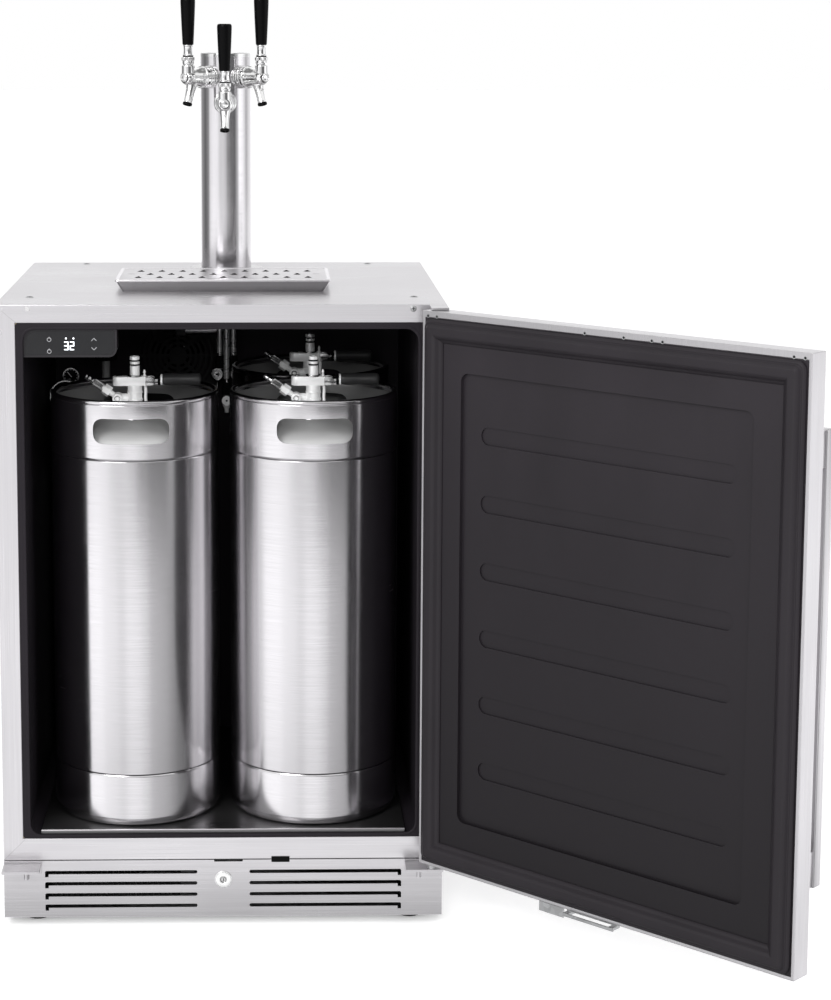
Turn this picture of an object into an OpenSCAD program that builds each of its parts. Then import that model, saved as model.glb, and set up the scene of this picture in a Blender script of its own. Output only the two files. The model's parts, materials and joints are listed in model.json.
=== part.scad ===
// Three-tap kegerator: an under-counter refrigerator with kegs, a draught tower and a door.
// The origin is on the floor under the centre of the cabinet. +Z is up and the door side is -Y.

/* [Cabinet] */
// Width over the side panels
cab_w = 606; // [590:1:620]
// Height of the top surface above the floor
cab_h = 867; // [862:1:880]
// Depth without the door
cab_d = 565; // [560:1:600]
// Gap under the cabinet, set by the feet
floor_gap = 13; // [10:1:20]
// Thickness of the outer sheet metal
sheet = 1.5; // [1:0.1:2]
// Width of the face frame's upright rails
stile_w = 27.5; // [25:0.5:30]
// Half the clear width of the door opening
bay_half_w = 266; // [262:1:268]
// Height of the moulded liner's floor
bay_floor = 130; // [128:1:132]
// Height of the moulded liner's ceiling
bay_ceiling = 834.5; // [830:0.5:838]
// Distance from the front plane to the liner's back wall
bay_depth = 505; // [500:1:510]

/* [Door] */
// Width of the door
door_w = 596; // [590:1:600]
// Height of the door's lower edge
door_z0 = 102; // [101:0.5:104]
// Height of the door's upper edge
door_z1 = 863.5; // [860:0.5:863.5]
// Thickness of the door's pan
door_t = 30; // [28:1:34]
// Gap between the face frame and the door's inner face
door_gap = 12; // [11:0.5:13]
// Opening angle at which the door stands
door_open = 135.3; // [0:0.1:136]

/* [Kegs] */
// Outside diameter of a keg
keg_d = 235; // [230:1:238]
// Height of a keg
keg_h = 598; // [590:1:600]
// Distance between the two rows' axes, side to side
keg_pitch = 250; // [242:1:254]
// Distance from the front plane to the front kegs' axes
keg_front_d = 136; // [132:1:140]
// Distance between the front and rear kegs' axes
keg_row_pitch = 240; // [239:1:250]

/* [Draught tower] */
// Outside diameter of the tower tube
tower_d = 76.2; // [74:0.1:80]
// Height of the tower above the top panel
tower_h = 329; // [320:1:335]
// Distance from the front plane to the tower's axis
tower_depth = 455; // [450:1:458]
// Height of the centre tap's shank above the floor
tap_low_z = 1122; // [1118:1:1126]
// Height of the outer taps' shanks above the floor
tap_high_z = 1160; // [1156:1:1164]
// Angle of the outer taps from the centre one
tap_angle = 38; // [36:1:40]

/* [Drip tray] */
// Length of the tray, side to side
tray_w = 302; // [290:1:310]
// Depth of the tray, front to back
tray_d = 163; // [150:1:170]
// Height of the tray
tray_h = 18; // [16:1:22]

/* [Hidden] */
$fn = 64;
eps = 0.05;
front = -cab_d / 2;
back = cab_d / 2;
half_w = cab_w / 2;
frame_t = 4;
rail_z0 = 95;
bay_y1 = front + bay_depth;
liner_t = 2;
flange_z0 = 126;
flange_z1 = 842.6;
flange_half = half_w - stile_w - 0.1;
foam_y0 = front + frame_t;
deck_z = 96;
keg_z0 = 135;
keg_r = keg_d / 2;
keg_row_x = 1.5;
keg_wall = 1.6;
chime_z0 = 72;
chime_z1 = keg_h - 81;
keg_left_x = keg_row_x - keg_pitch / 2;
keg_right_x = keg_row_x + keg_pitch / 2;
keg_front_y = front + keg_front_d;
keg_rear_y = keg_front_y + keg_row_pitch;
door_half = door_w / 2;
hinge_x = door_half - 10;
hinge_plate_z = 89;
hinge_plate_t = 3.5;
hinge_y = front - 30;
door_in = front - door_gap;
door_out = door_in - door_t;
rim_side = 4.5;
rim_top = 8.5;
liner_back = door_in - 11;
pin_r = 4;
bush_r = 7;
tower_y = front + tower_depth;
tower_r = tower_d / 2;
flange_t = 4;
line_r = 4.5;
tray_y = front + 228.5;
hole_pitch = 30;
hole_row_pitch = 42;
gas_x = -190;
gas_y = 97.5;
gas_r = 66.5;
fan_x = -75;
fan_z = 733;
lock_z = 66;
cond_fan_x = -150;
cond_fan_z = 54;
lever_x = 23;
lever_z = 744;
tap_pivot_r = 88;
tap_pivot_z = 22;

// ---- helpers ----

// A box between two opposite corners
module slab(lo, hi) {
    translate(lo)
        cube(hi - lo);
}

// A flat outline in X and Z, extruded along Y
module along_y(y0, y1) {
    translate([0, y1, 0])
        rotate([90, 0, 0])
            linear_extrude(y1 - y0)
                children();
}

// A rectangle between two corners with round corners of radius r
module round_rect(x0, z0, x1, z1, r) {
    translate([x0 + r, z0])
        square([x1 - x0 - 2 * r, z1 - z0]);
    translate([x0, z0 + r])
        square([x1 - x0, z1 - z0 - 2 * r]);
    for (x = [x0 + r, x1 - r], z = [z0 + r, z1 - r])
        translate([x, z])
            circle(r);
}

// A long hole with round ends, centred
module stadium(length, height) {
    square([length - height, height], center = true);
    for (side = [-1, 1])
        translate([side * (length - height) / 2, 0])
            circle(height / 2);
}

// A cylinder along Y between two planes
module rod_y(x, z, r, y0, y1) {
    translate([x, y1, z])
        rotate([90, 0, 0])
            cylinder(r = r, h = y1 - y0);
}

// A cylinder along X between two planes
module rod_x(y, z, r, x0, x1) {
    translate([x0, y, z])
        rotate([0, 90, 0])
            cylinder(r = r, h = x1 - x0);
}

// A cylinder along Z between two heights
module post(x, y, r, z0, z1) {
    translate([x, y, z0])
        cylinder(r = r, h = z1 - z0);
}

// Turns the closed door to the angle at which it stands
module door_pose() {
    translate([hinge_x, hinge_y, 0])
        rotate([0, 0, door_open])
            translate([-hinge_x, -hinge_y, 0])
                children();
}

// Places a tap: -Y points out of the tower and Z counts from the shank
module tap_place(angle, z) {
    translate([0, tower_y, z])
        rotate([0, 0, angle])
            children();
}

// ---- cabinet ----

top_screws = [[-264, front + 89], [264, front + 89], [-219, front + 540], [219, front + 540]];

module top_panel() {
    color("gainsboro")
        difference() {
            slab([-half_w, foam_y0, cab_h - sheet], [half_w, back, cab_h]);
            post(0, tower_y, 33, cab_h - 5, cab_h + 5);
            for (p = top_screws)
                post(p[0], p[1], 5.05, cab_h - 5, cab_h + 5);
        }
}

module side_panels() {
    color("gainsboro")
        for (x = [-half_w, half_w - sheet])
            slab([x, foam_y0, floor_gap], [x + sheet, back - sheet, cab_h - sheet]);
}

module back_panel() {
    color("silver")
        difference() {
            slab([-half_w, back - sheet, floor_gap], [half_w, back, cab_h - sheet]);
            along_y(back - 5, back + 5)
                for (row = [0:3], column = [-3:0.5:1])
                    translate([column * 60, 34 + row * 14])
                        stadium(24, 5);
            rod_y(210, 50, 6, back - 5, back + 5);
        }
}

module base_pan() {
    color("dimgray") {
        difference() {
            slab([-half_w + sheet, foam_y0, floor_gap], [half_w - sheet, back - sheet, floor_gap + sheet]);
            for (x = [-260, 260], y = [-240, 240])
                post(x, y, 5.05, floor_gap - 5, floor_gap + 5);
        }
        slab([-half_w + sheet, foam_y0, deck_z - sheet], [half_w - sheet, back - sheet, deck_z]);
    }
}

// Four mitred rails round the door opening
module face_frame() {
    x0 = half_w - stile_w;
    z0 = flange_z0;
    z1 = flange_z1 + 0.1;
    color("gainsboro")
        for (rail = [
            [[-half_w, cab_h], [half_w, cab_h], [x0, z1], [-x0, z1]],
            [[-half_w, rail_z0], [half_w, rail_z0], [x0, z0], [-x0, z0]],
            [[-half_w, rail_z0], [-half_w, cab_h], [-x0, z1], [-x0, z0]],
            [[half_w, rail_z0], [half_w, cab_h], [x0, z1], [x0, z0]]])
            along_y(front, front + frame_t)
                polygon(rail);
}

// Five flat slabs round the keg bay
module insulation_foam() {
    x0 = bay_half_w + liner_t;
    x1 = half_w - sheet;
    z0 = bay_floor - liner_t;
    z1 = bay_ceiling + liner_t;
    y1 = back - sheet;
    color("wheat") {
        slab([-x1, foam_y0, deck_z], [-x0, y1, cab_h - sheet]);
        slab([x0, foam_y0, deck_z], [x1, y1, cab_h - sheet]);
        slab([-x0, foam_y0, deck_z], [x0, y1, z0]);
        slab([-x0, bay_y1 + liner_t, z0], [x0, y1, z1]);
        difference() {
            slab([-x0, foam_y0, z1], [x0, y1, cab_h - sheet]);
            post(0, tower_y, 33, z1 - 5, cab_h + 5);
            for (p = top_screws)
                post(p[0], p[1], 2.05, cab_h - 18, cab_h + 5);
        }
    }
}

// The bay's rounded outline, with its upper and lower corners of different radius
module bay_outline(grow) {
    x = bay_half_w + grow;
    split = (bay_floor + bay_ceiling) / 2;
    round_rect(-x, split - 100, x, bay_ceiling + grow, 20 + grow);
    round_rect(-x, bay_floor - grow, x, split + 100, 17 + grow);
}

module inner_liner() {
    color("dimgray")
        difference() {
            union() {
                along_y(front + 1, foam_y0)
                    round_rect(-flange_half, flange_z0 + 0.1, flange_half, flange_z1, 4);
                along_y(front + 1, bay_y1 + liner_t)
                    bay_outline(liner_t - eps);
            }
            along_y(front - 1, bay_y1)
                bay_outline(0);
            post(0, tower_y, 33, bay_ceiling - 5, bay_ceiling + 5);
        }
}

// A folded steel deck with a front lip and ribs that stand on the liner
module keg_floor_plate() {
    x = 251;
    y0 = front + 6;
    y1 = bay_y1 - 8;
    color("lightgray")
        union() {
            slab([-x, y0, keg_z0 - 1.5], [x, y1, keg_z0]);
            slab([-x, y0, bay_floor + 0.4], [x, y0 + 1.5, keg_z0]);
            for (i = [-2:2])
                slab([i * 110 - 6, y0, bay_floor], [i * 110 + 6, y1, keg_z0 - 1]);
        }
}

// Rows of the vent's slots, counted from the top
module vent_slots() {
    for (side = [-1, 1], row = [0:3])
        translate([side * 141.25, 77 - row * 16.1]) {
            stadium(210.5, 5);
            translate([side * 102.75, -3])
                square([5, 7], center = true);
        }
}

module toe_grille() {
    color("gainsboro")
        difference() {
            union() {
                slab([-half_w, front, floor_gap], [half_w, front + 2.5, 94]);
                slab([-half_w + 2, front + 2.4, floor_gap + sheet + 0.1],
                    [half_w - 2, foam_y0 - 0.05, floor_gap + 6]);
            }
            along_y(front - 5, front + 5)
                vent_slots();
            rod_y(0, lock_z, 9.05, front - 5, front + 5);
            slab([-12.7, front - 1, 91.5], [26.8, front + 5, 95]);
        }
}

module cabinet_screws() {
    color("silver") {
        for (p = top_screws)
            difference() {
                union() {
                    post(p[0], p[1], 5, cab_h - sheet, cab_h + 0.4);
                    post(p[0], p[1], 2, cab_h - 14, cab_h - 1);
                }
                for (turn = [0, 90])
                    translate([p[0], p[1], cab_h + 0.4])
                        rotate([0, 0, turn])
                            cube([5.6, 1, 1.6], center = true);
            }
        for (p = [[-298, 860], [-298, 829.5], [-258.5, 861.5]])
            rod_y(p[0], p[1], 3.5, front - 1.2, front);
        difference() {
            rod_y(258, 861.5, 4.5, front - 1.4, front);
            for (turn = [0, 90])
                translate([258, front - 1.4, 861.5])
                    rotate([0, turn, 0])
                        cube([5.4, 1.6, 1.1], center = true);
        }
    }
}

module levelling_feet() {
    color("dimgray")
        for (x = [-260, 260], y = [-240, 240]) {
            post(x, y, 18, 0, 8);
            post(x, y, 9, 7, floor_gap);
            post(x, y, 5, 7, 40);
        }
}

// One top bracket over the door's edge, and two under it, of which the left one is spare
module hinge_brackets() {
    color("gainsboro") {
        slab([hinge_x - 8, hinge_y - 10, door_z1 + 0.5], [half_w, front, cab_h - 0.1]);
        for (x = [-302, 251])
            union() {
                slab([x, hinge_y - 10, hinge_plate_z], [x + 51, front, hinge_plate_z + hinge_plate_t]);
                slab([x, front - 2.5, hinge_plate_z - 13], [x + 51, front, hinge_plate_z + 1]);
            }
        for (x = [-270, 270])
            union() {
                post(x, front - 16, 3.5, hinge_plate_z - 15, hinge_plate_z);
                post(x, front - 16, 6, hinge_plate_z - 6, hinge_plate_z);
            }
    }
}

module hinge_pins() {
    color("silver") {
        union() {
            post(hinge_x, hinge_y, pin_r, hinge_plate_z + hinge_plate_t, door_z0 + 15);
            post(hinge_x, hinge_y, 8, hinge_plate_z + hinge_plate_t, door_z0 - 0.1);
        }
        post(hinge_x, hinge_y, pin_r, door_z1 - 19, door_z1 + 0.5);
    }
}

module lock_body() {
    color("whitesmoke")
        difference() {
            union() {
                rod_y(0, lock_z, 12, front - 2.2, front);
                rod_y(0, lock_z, 9, front - 1, front + 22);
            }
            rod_y(0, lock_z, 6.05, front - 5, front + 30);
        }
}

module lock_cylinder() {
    color("dimgray")
        difference() {
            union() {
                rod_y(0, lock_z, 6, front - 1.6, front + 25);
                along_y(front + 22.1, front + 24.5)
                    union() {
                        translate([0, lock_z])
                            circle(9);
                        translate([-5, lock_z])
                            square([10, 18]);
                    }
            }
            slab([-0.9, front - 3, lock_z - 4], [0.9, front + 4, lock_z + 4]);
        }
}

module door_sensor() {
    color("black")
        slab([66.5, front - 1.5, 90.8], [91.5, front, 98.6]);
}

// ---- controls ----

module control_outline(inset) {
    intersection() {
        bay_outline(-0.1 - inset);
        union() {
            translate([-400, 795.7 + inset])
                square([249 - inset, 60]);
            translate([-400, 806.7])
                square([260 - inset, 60]);
            translate([-151, 806.7])
                circle(11 - inset);
        }
    }
}

module control_panel() {
    color("dimgray")
        difference() {
            along_y(front + 5, front + 42)
                control_outline(0);
            along_y(front + 4, front + 6.5)
                control_outline(3);
        }
}

module control_screen() {
    color("black")
        along_y(front + 4.6, front + 6.4)
            control_outline(3.2);
}

// ---- draught tower ----

module tower_tube() {
    color("silver")
        difference() {
            post(0, tower_y, tower_r, cab_h + flange_t, cab_h + tower_h - 6);
            post(0, tower_y, tower_r - sheet, cab_h, cab_h + tower_h);
            for (tap = [[-tap_angle, tap_high_z], [0, tap_low_z], [tap_angle, tap_high_z]])
                tap_place(tap[0], tap[1])
                    rod_y(0, 0, 11.05, -60, 0);
        }
}

module tower_flange() {
    color("silver") {
        difference() {
            post(0, tower_y, 54.5, cab_h, cab_h + flange_t);
            post(0, tower_y, tower_r - sheet, cab_h - 1, cab_h + 10);
        }
        for (turn = [45:90:315])
            translate([0, tower_y, cab_h + flange_t])
                rotate([0, 0, turn])
                    translate([46.5, 0, 0])
                        cylinder(r = 4, h = 1.6);
    }
}

module tower_cap() {
    color("silver")
        union() {
            translate([0, tower_y, cab_h + tower_h - 6])
                rotate_extrude()
                    union() {
                        square([tower_r - 1.5, 6]);
                        square([tower_r + 0.4, 4.1]);
                        translate([tower_r - 1.5, 4.1])
                            circle(1.9);
                    }
            post(0, tower_y, tower_r - sheet - eps, cab_h + tower_h - 16, cab_h + tower_h - 5);
        }
}

// A shank through the tube's wall, with a collar that is saddled to the tube
module tap_shank(inner) {
    union() {
        rod_y(0, 0, 11, -46, -inner);
        difference() {
            rod_y(0, 0, 17, -46, -30);
            translate([0, 0, -50])
                cylinder(r = tower_r + eps, h = 100);
        }
        post(0, -inner, 6, -20, 0);
    }
}

module tap_shanks() {
    color("silver") {
        tap_place(-tap_angle, tap_high_z)
            tap_shank(17);
        tap_place(0, tap_low_z)
            tap_shank(20);
        tap_place(tap_angle, tap_high_z)
            tap_shank(17);
    }
}

// Coupling nut, tapered barrel, spout that leans forward, and the bonnet's round seat
module tap_body() {
    difference() {
        union() {
            rod_y(0, 0, 16.5, -60, -46);
            translate([0, -60, 0])
                rotate([90, 0, 0])
                    cylinder(r1 = 14.5, r2 = 10.5, h = 34);
            rod_y(0, 0, 11, -97, -94);
            post(0, -tap_pivot_r, 9.5, 0, tap_pivot_z - 3);
            translate([0, -76, 0])
                rotate([-20, 0, 0])
                    translate([0, 0, -43])
                        cylinder(r = 6.5, h = 43);
        }
        translate([0, -tap_pivot_r, tap_pivot_z])
            sphere(r = 9.05);
        translate([0, -76, 0])
            rotate([-20, 0, 0])
                translate([0, 0, -44])
                    cylinder(r = 4.5, h = 16);
    }
}

module tap_bodies() {
    color("silver") {
        tap_place(-tap_angle, tap_high_z)
            tap_body();
        tap_place(0, tap_low_z)
            tap_body();
        tap_place(tap_angle, tap_high_z)
            tap_body();
    }
}

// The lever's ball sits in the bonnet, under its nut and ferrule
module tap_lever() {
    translate([0, -tap_pivot_r, tap_pivot_z])
        union() {
            sphere(r = 9);
            cylinder(r = 8.6, h = 12);
            translate([0, 0, 4])
                cylinder(r = 9, h = 7);
            translate([0, 0, 11])
                cylinder(r = 7, h = 15);
            translate([0, 0, 26])
                cylinder(r = 4, h = 10);
        }
}

module tap_handle() {
    difference() {
        translate([0, -tap_pivot_r, tap_pivot_z + 26])
            rotate_extrude()
                polygon([[0, 0], [8, 0], [8.4, 3], [10.9, 60], [11, 66], [10, 68.5], [8, 69], [0, 69]]);
        post(0, -tap_pivot_r, 4 + eps, tap_pivot_z, tap_pivot_z + 36 + eps);
    }
}

module tap_lever_left() {
    color("silver")
        tap_place(-tap_angle, tap_high_z)
            tap_lever();
}

module tap_lever_centre() {
    color("silver")
        tap_place(0, tap_low_z)
            tap_lever();
}

module tap_lever_right() {
    color("silver")
        tap_place(tap_angle, tap_high_z)
            tap_lever();
}

module tap_handle_left() {
    color("black")
        tap_place(-tap_angle, tap_high_z)
            tap_handle();
}

module tap_handle_centre() {
    color("black")
        tap_place(0, tap_low_z)
            tap_handle();
}

module tap_handle_right() {
    color("black")
        tap_place(tap_angle, tap_high_z)
            tap_handle();
}

// Three lines from the shanks' tails down into the bay, each with its nut and fitting
module beer_lines() {
    color("dimgray") {
        for (side = [-1, 1])
            translate([side * 17 * sin(tap_angle), tower_y - 17 * cos(tap_angle), 0])
                union() {
                    post(0, 0, line_r, 712, tap_high_z - 20);
                    post(0, 0, 7.5, 719, 740);
                    rod_y(side * 4, 708, 10.8, -4, 4);
                }
        translate([0, tower_y - 20, 0])
            union() {
                post(0, 0, line_r, 690, tap_low_z - 20);
                translate([0, 0, 672])
                    cylinder(r1 = 5, r2 = 8, h = 28);
                rod_y(0, 668, 8.8, -4, 4);
                post(0, 0, 3, 636, 672);
            }
    }
}

// Cold air hose from the evaporator cover, up through the ceiling into the tower
module tower_duct() {
    r = 7.4;
    z = 774;
    bend = 12;
    color("silver")
        union() {
            slab([-78, tower_y - 7.4, z - 9], [-62, tower_y + 7.4, z + 9]);
            rod_x(tower_y, z, r, -63, -bend);
            translate([-bend, tower_y, z + bend])
                rotate([90, 0, 0])
                    rotate([0, 0, -90])
                        rotate_extrude(angle = 90)
                            translate([bend, 0])
                                circle(r);
            post(0, tower_y, r, z + bend, 900);
        }
}

// ---- refrigeration ----

module evaporator_cover() {
    x0 = -135;
    x1 = -15;
    y0 = bay_y1 - 42;
    color("dimgray")
        difference() {
            along_y(y0, bay_y1 - eps)
                round_rect(x0, 600, x1, 798, 8);
            along_y(y0 + sheet, bay_y1 + 1)
                round_rect(x0 + sheet, 600 + sheet, x1 - sheet, 798 - sheet, 6.5);
            along_y(y0 - 1, y0 + 3)
                for (r = [14:8:54])
                    difference() {
                        translate([fan_x, fan_z])
                            circle(r + 4);
                        translate([fan_x, fan_z])
                            circle(r);
                        for (turn = [0:45:135])
                            translate([fan_x, fan_z])
                                rotate(turn)
                                    square([130, 5], center = true);
                    }
            along_y(y0 - 1, y0 + 3)
                for (row = [0:4])
                    translate([fan_x, 616 + row * 11])
                        stadium(90, 4);
        }
}

// Finned block over its tubes
module fin_block(x0, x1, y0, y1, z0, z1, pitch) {
    union() {
        for (x = [x0:pitch:x1])
            slab([x, y0, z0], [x + 0.8, y1, z1]);
        for (z = [z0 + 9:18:z1 - 6])
            rod_x((y0 + y1) / 2, z, 4, x0 - 4, x1 + 4);
    }
}

module evaporator_coil() {
    color("silver") {
        fin_block(-122, -28, 190, bay_y1 - 4, 606, 676, 6);
        union() {
            rod_y(fan_x, fan_z, 15, 204, bay_y1 - eps);
            rod_y(fan_x, fan_z, 2.5, 192, 205);
        }
    }
}

// Hub with pitched blades on a shaft along Y
module fan(x, z, y, r, blades, bore) {
    translate([x, y, z])
        difference() {
            union() {
                rod_y(0, 0, 9, -6, 6);
                for (i = [0:blades - 1])
                    rotate([0, i * 360 / blades, 0])
                        translate([0, 0, (r + 7) / 2])
                            rotate([0, 0, 28])
                                cube([17, 1.6, r - 7], center = true);
            }
            rod_y(0, 0, bore + eps, -4, 8);
        }
}

module evaporator_fan() {
    color("black")
        fan(fan_x, fan_z, 196, 42, 5, 2.5);
}

module compressor() {
    color("black")
        translate([170, 150, floor_gap + sheet])
            union() {
                slab([-42, -42, 0], [42, 42, 2]);
                for (x = [-34, 34], y = [-34, 34])
                    post(x, y, 5, 0, 9);
                cylinder(r = 34, h = 62);
                post(0, 0, 30, 61, 70);
                post(-22, 0, 4, 60, 76);
                rod_x(0, 72, 3.5, -60, -20);
            }
}

module condenser_coil() {
    color("dimgray") {
        fin_block(-235, -65, front + 28, front + 58, 20, 88, 8);
        union() {
            rod_y(cond_fan_x, cond_fan_z, 15, -190, -160);
            rod_y(cond_fan_x, cond_fan_z, 2.5, -202, -188);
            slab([cond_fan_x - 12, -176, floor_gap + sheet], [cond_fan_x + 12, -166, cond_fan_z]);
        }
    }
}

module condenser_fan() {
    color("black")
        fan(cond_fan_x, cond_fan_z, -198, 34, 6, 2.5);
}

// ---- gas ----

module gas_cylinder() {
    color("silver")
        translate([gas_x, gas_y, keg_z0])
            difference() {
                union() {
                    rotate_extrude()
                        union() {
                            translate([0, 12])
                                square([gas_r, 404]);
                            square([gas_r - 12, 24]);
                            translate([gas_r - 12, 12])
                                circle(12);
                            intersection() {
                                translate([0, 416])
                                    circle(gas_r);
                                square([gas_r, 600]);
                            }
                        }
                    cylinder(r = 14, h = 494);
                    cylinder(r = 11, h = 516);
                    rod_x(0, 504, 8, -19, 0);
                    translate([10, 0, 509])
                        cylinder(r = 6, h = 95);
                }
                translate([0, 0, 14])
                    cylinder(r = gas_r - 4, h = 402);
            }
}

// Regulator body beside the valve, with a large and a small gauge
module gas_regulator() {
    color("silver")
        union() {
            rod_x(gas_y, 639, 10, -236, gas_x - 19.05);
            post(-226, gas_y - 14, 16, 625, 668);
            rod_y(-226, 645, 8, gas_y - 14, gas_y);
            post(-234, 70, 5, 650, 692);
            rod_y(-238, 690, 25, 58, 74);
            post(-232, 92, 6, 660, 706);
            rod_y(-232, 716, 14, 84, 96);
        }
}

module gas_valve_wheel() {
    color("dimgray")
        difference() {
            post(gas_x + 10, gas_y, 17, keg_z0 + 604, keg_z0 + 618);
            for (turn = [0:45:315])
                translate([gas_x + 10, gas_y, keg_z0 + 603])
                    rotate([0, 0, turn])
                        translate([19.5, 0, 0])
                            cylinder(r = 4.5, h = 16);
            post(gas_x + 10, gas_y, 3, keg_z0 + 611, keg_z0 + 619);
        }
}

// ---- kegs ----

// Section of the pressure vessel: straight wall between two shallow domes, less an inset
module vessel_section(inset) {
    top_rise = 42;
    bottom_rise = 46;
    edge = keg_r - 2.7;
    top_r = (edge * edge + top_rise * top_rise) / (2 * top_rise);
    bottom_r = (edge * edge + bottom_rise * bottom_rise) / (2 * bottom_rise);
    translate([0, chime_z0 + inset])
        square([keg_r - inset, chime_z1 - chime_z0 - 2 * inset]);
    intersection() {
        translate([0, chime_z1 + top_rise - top_r])
            circle(top_r - inset, $fn = 128);
        translate([0, chime_z1 - 10])
            square([edge - inset, 100]);
    }
    intersection() {
        translate([0, chime_z0 - bottom_rise + bottom_r])
            circle(bottom_r - inset, $fn = 128);
        translate([0, chime_z0 - 90])
            square([edge - inset, 100]);
    }
}

module keg(x, y) {
    neck_z = keg_h - 33;
    translate([x, y, keg_z0]) {
        rotate_extrude($fn = 128)
            difference() {
                union() {
                    vessel_section(0);
                    translate([0, neck_z - 12])
                        square([24, 12]);
                }
                vessel_section(keg_wall);
                translate([0, neck_z - 30])
                    square([21, 40]);
            }
        difference() {
            rotate_extrude($fn = 128)
                union() {
                    translate([keg_r - 2.5, chime_z1 + eps])
                        square([2.5, keg_h - chime_z1 - 4]);
                    translate([keg_r - 4, keg_h - 4])
                        circle(4);
                }
            translate([0, 0, keg_h - 42])
                along_y(-keg_r - 5, keg_r + 5)
                    stadium(104, 35);
        }
        rotate_extrude($fn = 128)
            union() {
                translate([keg_r - 2.5, 4])
                    square([2.5, chime_z0 - 4 - eps]);
                translate([keg_r - 4, 4])
                    circle(4);
            }
    }
}

module keg_front_left() {
    color("silver")
        keg(keg_left_x, keg_front_y);
}

module keg_front_right() {
    color("silver")
        keg(keg_right_x, keg_front_y);
}

module keg_rear_right() {
    color("silver")
        keg(keg_right_x, keg_rear_y);
}

// Coupler body: base on the keg's neck, barrel, yoke with lever lugs, claw and gas inlet
module coupler(x, y) {
    translate([x, y, 0])
        difference() {
            union() {
                post(0, 0, 27, keg_z0 + keg_h - 33 + eps, 706);
                post(0, 0, 20.9, 692, 702);
                post(0, 0, 10.2, 702, 740);
                slab([-22, -9, 737.4], [16.5, 9, 750.6]);
                translate([-22, 0, 737.4])
                    cylinder(r = 9, h = 13.2);
                for (side = [-1, 1])
                    union() {
                        slab([15, side * 7.1 - 2, 738], [lever_x, side * 7.1 + 2, 750]);
                        rod_y(lever_x, lever_z, 6, side * 7.1 - 2, side * 7.1 + 2);
                    }
                rod_y(lever_x, lever_z, 2, -9, 9);
                slab([13, -5, 712], [18, 5, 738]);
                slab([9, -5, 712], [18, 5, 716]);
                rod_x(0, 720, 6, -24, -8);
                rod_y(-24, 720, 7.3, -12, 8);
                translate([-24, 0, 720])
                    rotate([0, -55, 0])
                        union() {
                            cylinder(r = 4, h = 40);
                            translate([0, 0, 14])
                                cylinder(r = 7.5, h = 10, $fn = 6);
                            translate([0, 0, 28])
                                cylinder(r = 5, h = 26);
                        }
            }
            post(0, 0, 7.05, 680, 760);
        }
}

module coupler_front_left() {
    color("silver")
        coupler(keg_left_x, keg_front_y);
}

module coupler_front_right() {
    color("silver")
        coupler(keg_right_x, keg_front_y);
}

module coupler_rear_right() {
    color("silver")
        coupler(keg_right_x, keg_rear_y);
}

// Lever: eye on the pin, short arm, collar and grip
module coupler_lever(x, y) {
    translate([x, y, 0])
        difference() {
            union() {
                rod_y(lever_x, lever_z, 5.5, -5, 5);
                rod_x(0, lever_z + 0.5, 4.5, lever_x, 38);
                rod_x(0, lever_z + 1, 7.5, 34, 40);
                rod_x(0, lever_z + 2, 8.5, 39, 93);
            }
            rod_y(lever_x, lever_z, 2 + eps, -10, 10);
        }
}

module coupler_lever_front_left() {
    color("black")
        coupler_lever(keg_left_x, keg_front_y);
}

module coupler_lever_front_right() {
    color("black")
        coupler_lever(keg_right_x, keg_front_y);
}

module coupler_lever_rear_right() {
    color("black")
        coupler_lever(keg_right_x, keg_rear_y);
}

// Probe: a post with two seal grooves that slides in the barrel
module coupler_probe(x, y) {
    translate([x, y, 694])
        difference() {
            cylinder(r = 7, h = 85);
            for (z = [72, 78])
                translate([0, 0, z])
                    difference() {
                        cylinder(r = 8, h = 2);
                        cylinder(r = 6, h = 2);
                    }
            translate([0, 0, 60])
                cylinder(r = 3, h = 30);
        }
}

module coupler_probe_front_left() {
    color("silver")
        coupler_probe(keg_left_x, keg_front_y);
}

module coupler_probe_front_right() {
    color("silver")
        coupler_probe(keg_right_x, keg_front_y);
}

module coupler_probe_rear_right() {
    color("silver")
        coupler_probe(keg_right_x, keg_rear_y);
}

// ---- drip tray ----

// A block whose four sides lean in towards its bottom
module leaning_block(w, d, h, lean) {
    intersection() {
        translate([0, d / 2, 0])
            rotate([90, 0, 0])
                linear_extrude(d)
                    polygon([[-w / 2 + lean, 0], [w / 2 - lean, 0], [w / 2, h], [-w / 2, h]]);
        translate([-w / 2, 0, 0])
            rotate([90, 0, 90])
                linear_extrude(w)
                    polygon([[-d / 2 + lean, 0], [d / 2 - lean, 0], [d / 2, h], [-d / 2, h]]);
    }
}

module drip_tray() {
    color("lightgray")
        translate([0, tray_y, cab_h])
            difference() {
                leaning_block(tray_w, tray_d, tray_h, 10);
                translate([0, 0, 1.2])
                    leaning_block(tray_w - 14, tray_d - 10, tray_h, 10);
                translate([0, 0, tray_h - 2.5])
                    linear_extrude(5)
                        square([tray_w - 7, tray_d - 6], center = true);
            }
}

// Punched plate with staggered drain holes and a finger bar at each end
module drip_grille() {
    color("silver")
        translate([0, tray_y, cab_h + tray_h - 2.5])
            difference() {
                union() {
                    linear_extrude(1.8)
                        square([tray_w - 7.4, tray_d - 6.4], center = true);
                    for (side = [-1, 1])
                        translate([side * (tray_w / 2 - 9), 0, 1.5])
                            cube([7, 100, 3], center = true);
                }
                for (row = [-1:1], column = [0:8 - (row == 0 ? 1 : 0)])
                    translate([(column - 4 + (row == 0 ? 0.5 : 0)) * hole_pitch, row * hole_row_pitch, -1])
                        rotate([0, 0, 90])
                            linear_extrude(5)
                                stadium(26, 9);
            }
}

// ---- door, drawn closed and then turned ----

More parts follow.
